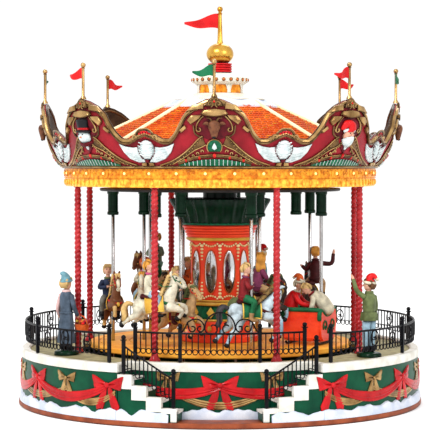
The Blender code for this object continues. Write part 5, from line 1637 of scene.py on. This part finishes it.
def make_figures():
    z = low("figure_left")
    left = Piece("figure_with_basket")
    where = facing(-64, at(120 * MM, -64, z)) @ turned(118)
    arms = (((-1, 6.8, 33), (1, 7.4, 26)), ((0.5, -6.8, 33), (5.6, -6.4, 26)))
    standing(left, where, SLATE, SLATE, 0, BLOND, 8, arms, sleeve=BLUSH, hat="beanie", hat_mat=TEAL)
    spot = where @ shifted(7.6, -7.5, 15.5)
    basket = lathe(((3.4 * MM, 0), (4.4 * MM, 1 * MM), (5.2 * MM, 4.6 * MM),
                    (5.4 * MM, 5.4 * MM), (4.4 * MM, 5.6 * MM)), 18)
    left.add(basket, ORANGE, spot)
    handle = [(0, 5 * math.cos(t), 5 + 6.4 * math.sin(t)) for t in (math.pi * i / 8 for i in range(9))]
    left.add(limb(handle, [0.5] * 9, 6, steps=1), ORANGE, spot)
    blooms = random.Random(5)
    for i in range(16):
        turn, far = blooms.uniform(0, 6.28), blooms.uniform(0, 4.2)
        mat = (ORANGE, PINK, YELLOW, FLAG_RED)[i % 4]
        left.add(egg((far * math.cos(turn), far * math.sin(turn), 6 + blooms.uniform(0, 2)),
                     (1.3, 1.3, 1.1), 6, 8), mat, spot)
    left.make("base", "coat_blue", "figure_left", crease=60)

    z = low("figure_right")
    right = Piece("figure_waving")
    where = facing(57.4, at(123 * MM, 57.4, z)) @ turned(70)
    arms = (((3.4, 8.4, 46), (8, 8.6, 55.5)), ((1, -7, 34), (3.4, -6.4, 26)))
    standing(right, where, OLIVE, ICE, 24, BROWN_HAIR, 25, arms, hat="soft", hat_mat=FLAG_RED, trim=IVORY)
    right.make("base", "coat_green", "figure_right", crease=60)


# ---------------------------------------------------------------- camera, light and stage

def make_camera():
    eye, distance, lens = 175.2 * MM, 1.314, 147.3
    camera = bpy.data.cameras.new("camera")
    camera.lens, camera.sensor_width = lens, 36
    obj = bpy.data.objects.new("camera", camera)
    obj.location = (0, -distance, eye)
    obj.rotation_euler = (math.radians(90 - 1.88), 0, 0)
    bpy.context.scene.collection.objects.link(obj)
    bpy.context.scene.camera = obj


def area(name, place, target, size, power):
    """Round soft light that looks at a target."""
    light = bpy.data.lights.new(name, "AREA")
    light.shape, light.size, light.energy = "DISK", size, power
    obj = bpy.data.objects.new(name, light)
    obj.location = place
    obj.rotation_euler = (Vector(target) - Vector(place)).to_track_quat("-Z", "Y").to_euler()
    bpy.context.scene.collection.objects.link(obj)


def make_stage():
    world = bpy.data.worlds.new("studio")
    bpy.context.scene.world = world
    world.use_nodes = True
    world.node_tree.nodes["Background"].inputs["Color"].default_value = (1, 1, 1, 1)
    world.node_tree.nodes["Background"].inputs["Strength"].default_value = 1.05
    area("key", (-0.7, -1.1, 1.2), (0, 0, 0.12), 0.6, 20)
    area("fill", (1.0, -1.2, 0.7), (0, 0, 0.12), 0.8, 8)
    area("back", (0.2, 1.2, 1.3), (0, 0, 0.15), 0.9, 9)
    mesh = bpy.data.meshes.new("floor")
    size = 6.0
    mesh.from_pydata([(-size, -size, 0), (size, -size, 0), (size, size, 0), (-size, size, 0)],
                     [], [(0, 1, 2, 3)])
    floor = bpy.data.objects.new("floor", mesh)
    pale = paint("pale_floor", (0.97, 0.97, 0.97), (0.95, 0.95, 0.95),
                 patch=4, rough=0.7, hollow_shade=0.0, bump=0.0, glow=0.22)
    mesh.materials.append(pale)
    bpy.context.scene.collection.objects.link(floor)
    bpy.context.scene.view_settings.view_transform = "Standard"


def finish_nodes():
    """Better materials for the CAD nodes that stay visible; the bearing, gears and cams are nylon."""
    looks = {"gear_motor": STEEL, "main_shaft": STEEL, "speaker": BLACK, "dc_socket": BLACK,
             "switch_slider": BLACK, "circuit_board": BOARD, "ceiling_plate": WHITE}
    for name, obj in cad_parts.items():
        if not obj.hide_render:
            obj.data.materials.clear()
            obj.data.materials.append(looks.get(name, NYLON))


make_camera()
make_stage()
make_base()
make_stairs("stairs_left", -1)
make_stairs("stairs_right", 1)
make_railings()
make_stair_rail("stair_rail_left", -1)
make_stair_rail("stair_rail_right", 1)
make_drum_trim()
make_columns()
make_turntable()
make_centre_column()
make_bell()
make_upper_disc()
make_horses()
make_sleigh()
make_figures()
make_band()
make_cornice()
make_roof()
make_lantern()
make_finial()
make_flags()
finish_nodes()
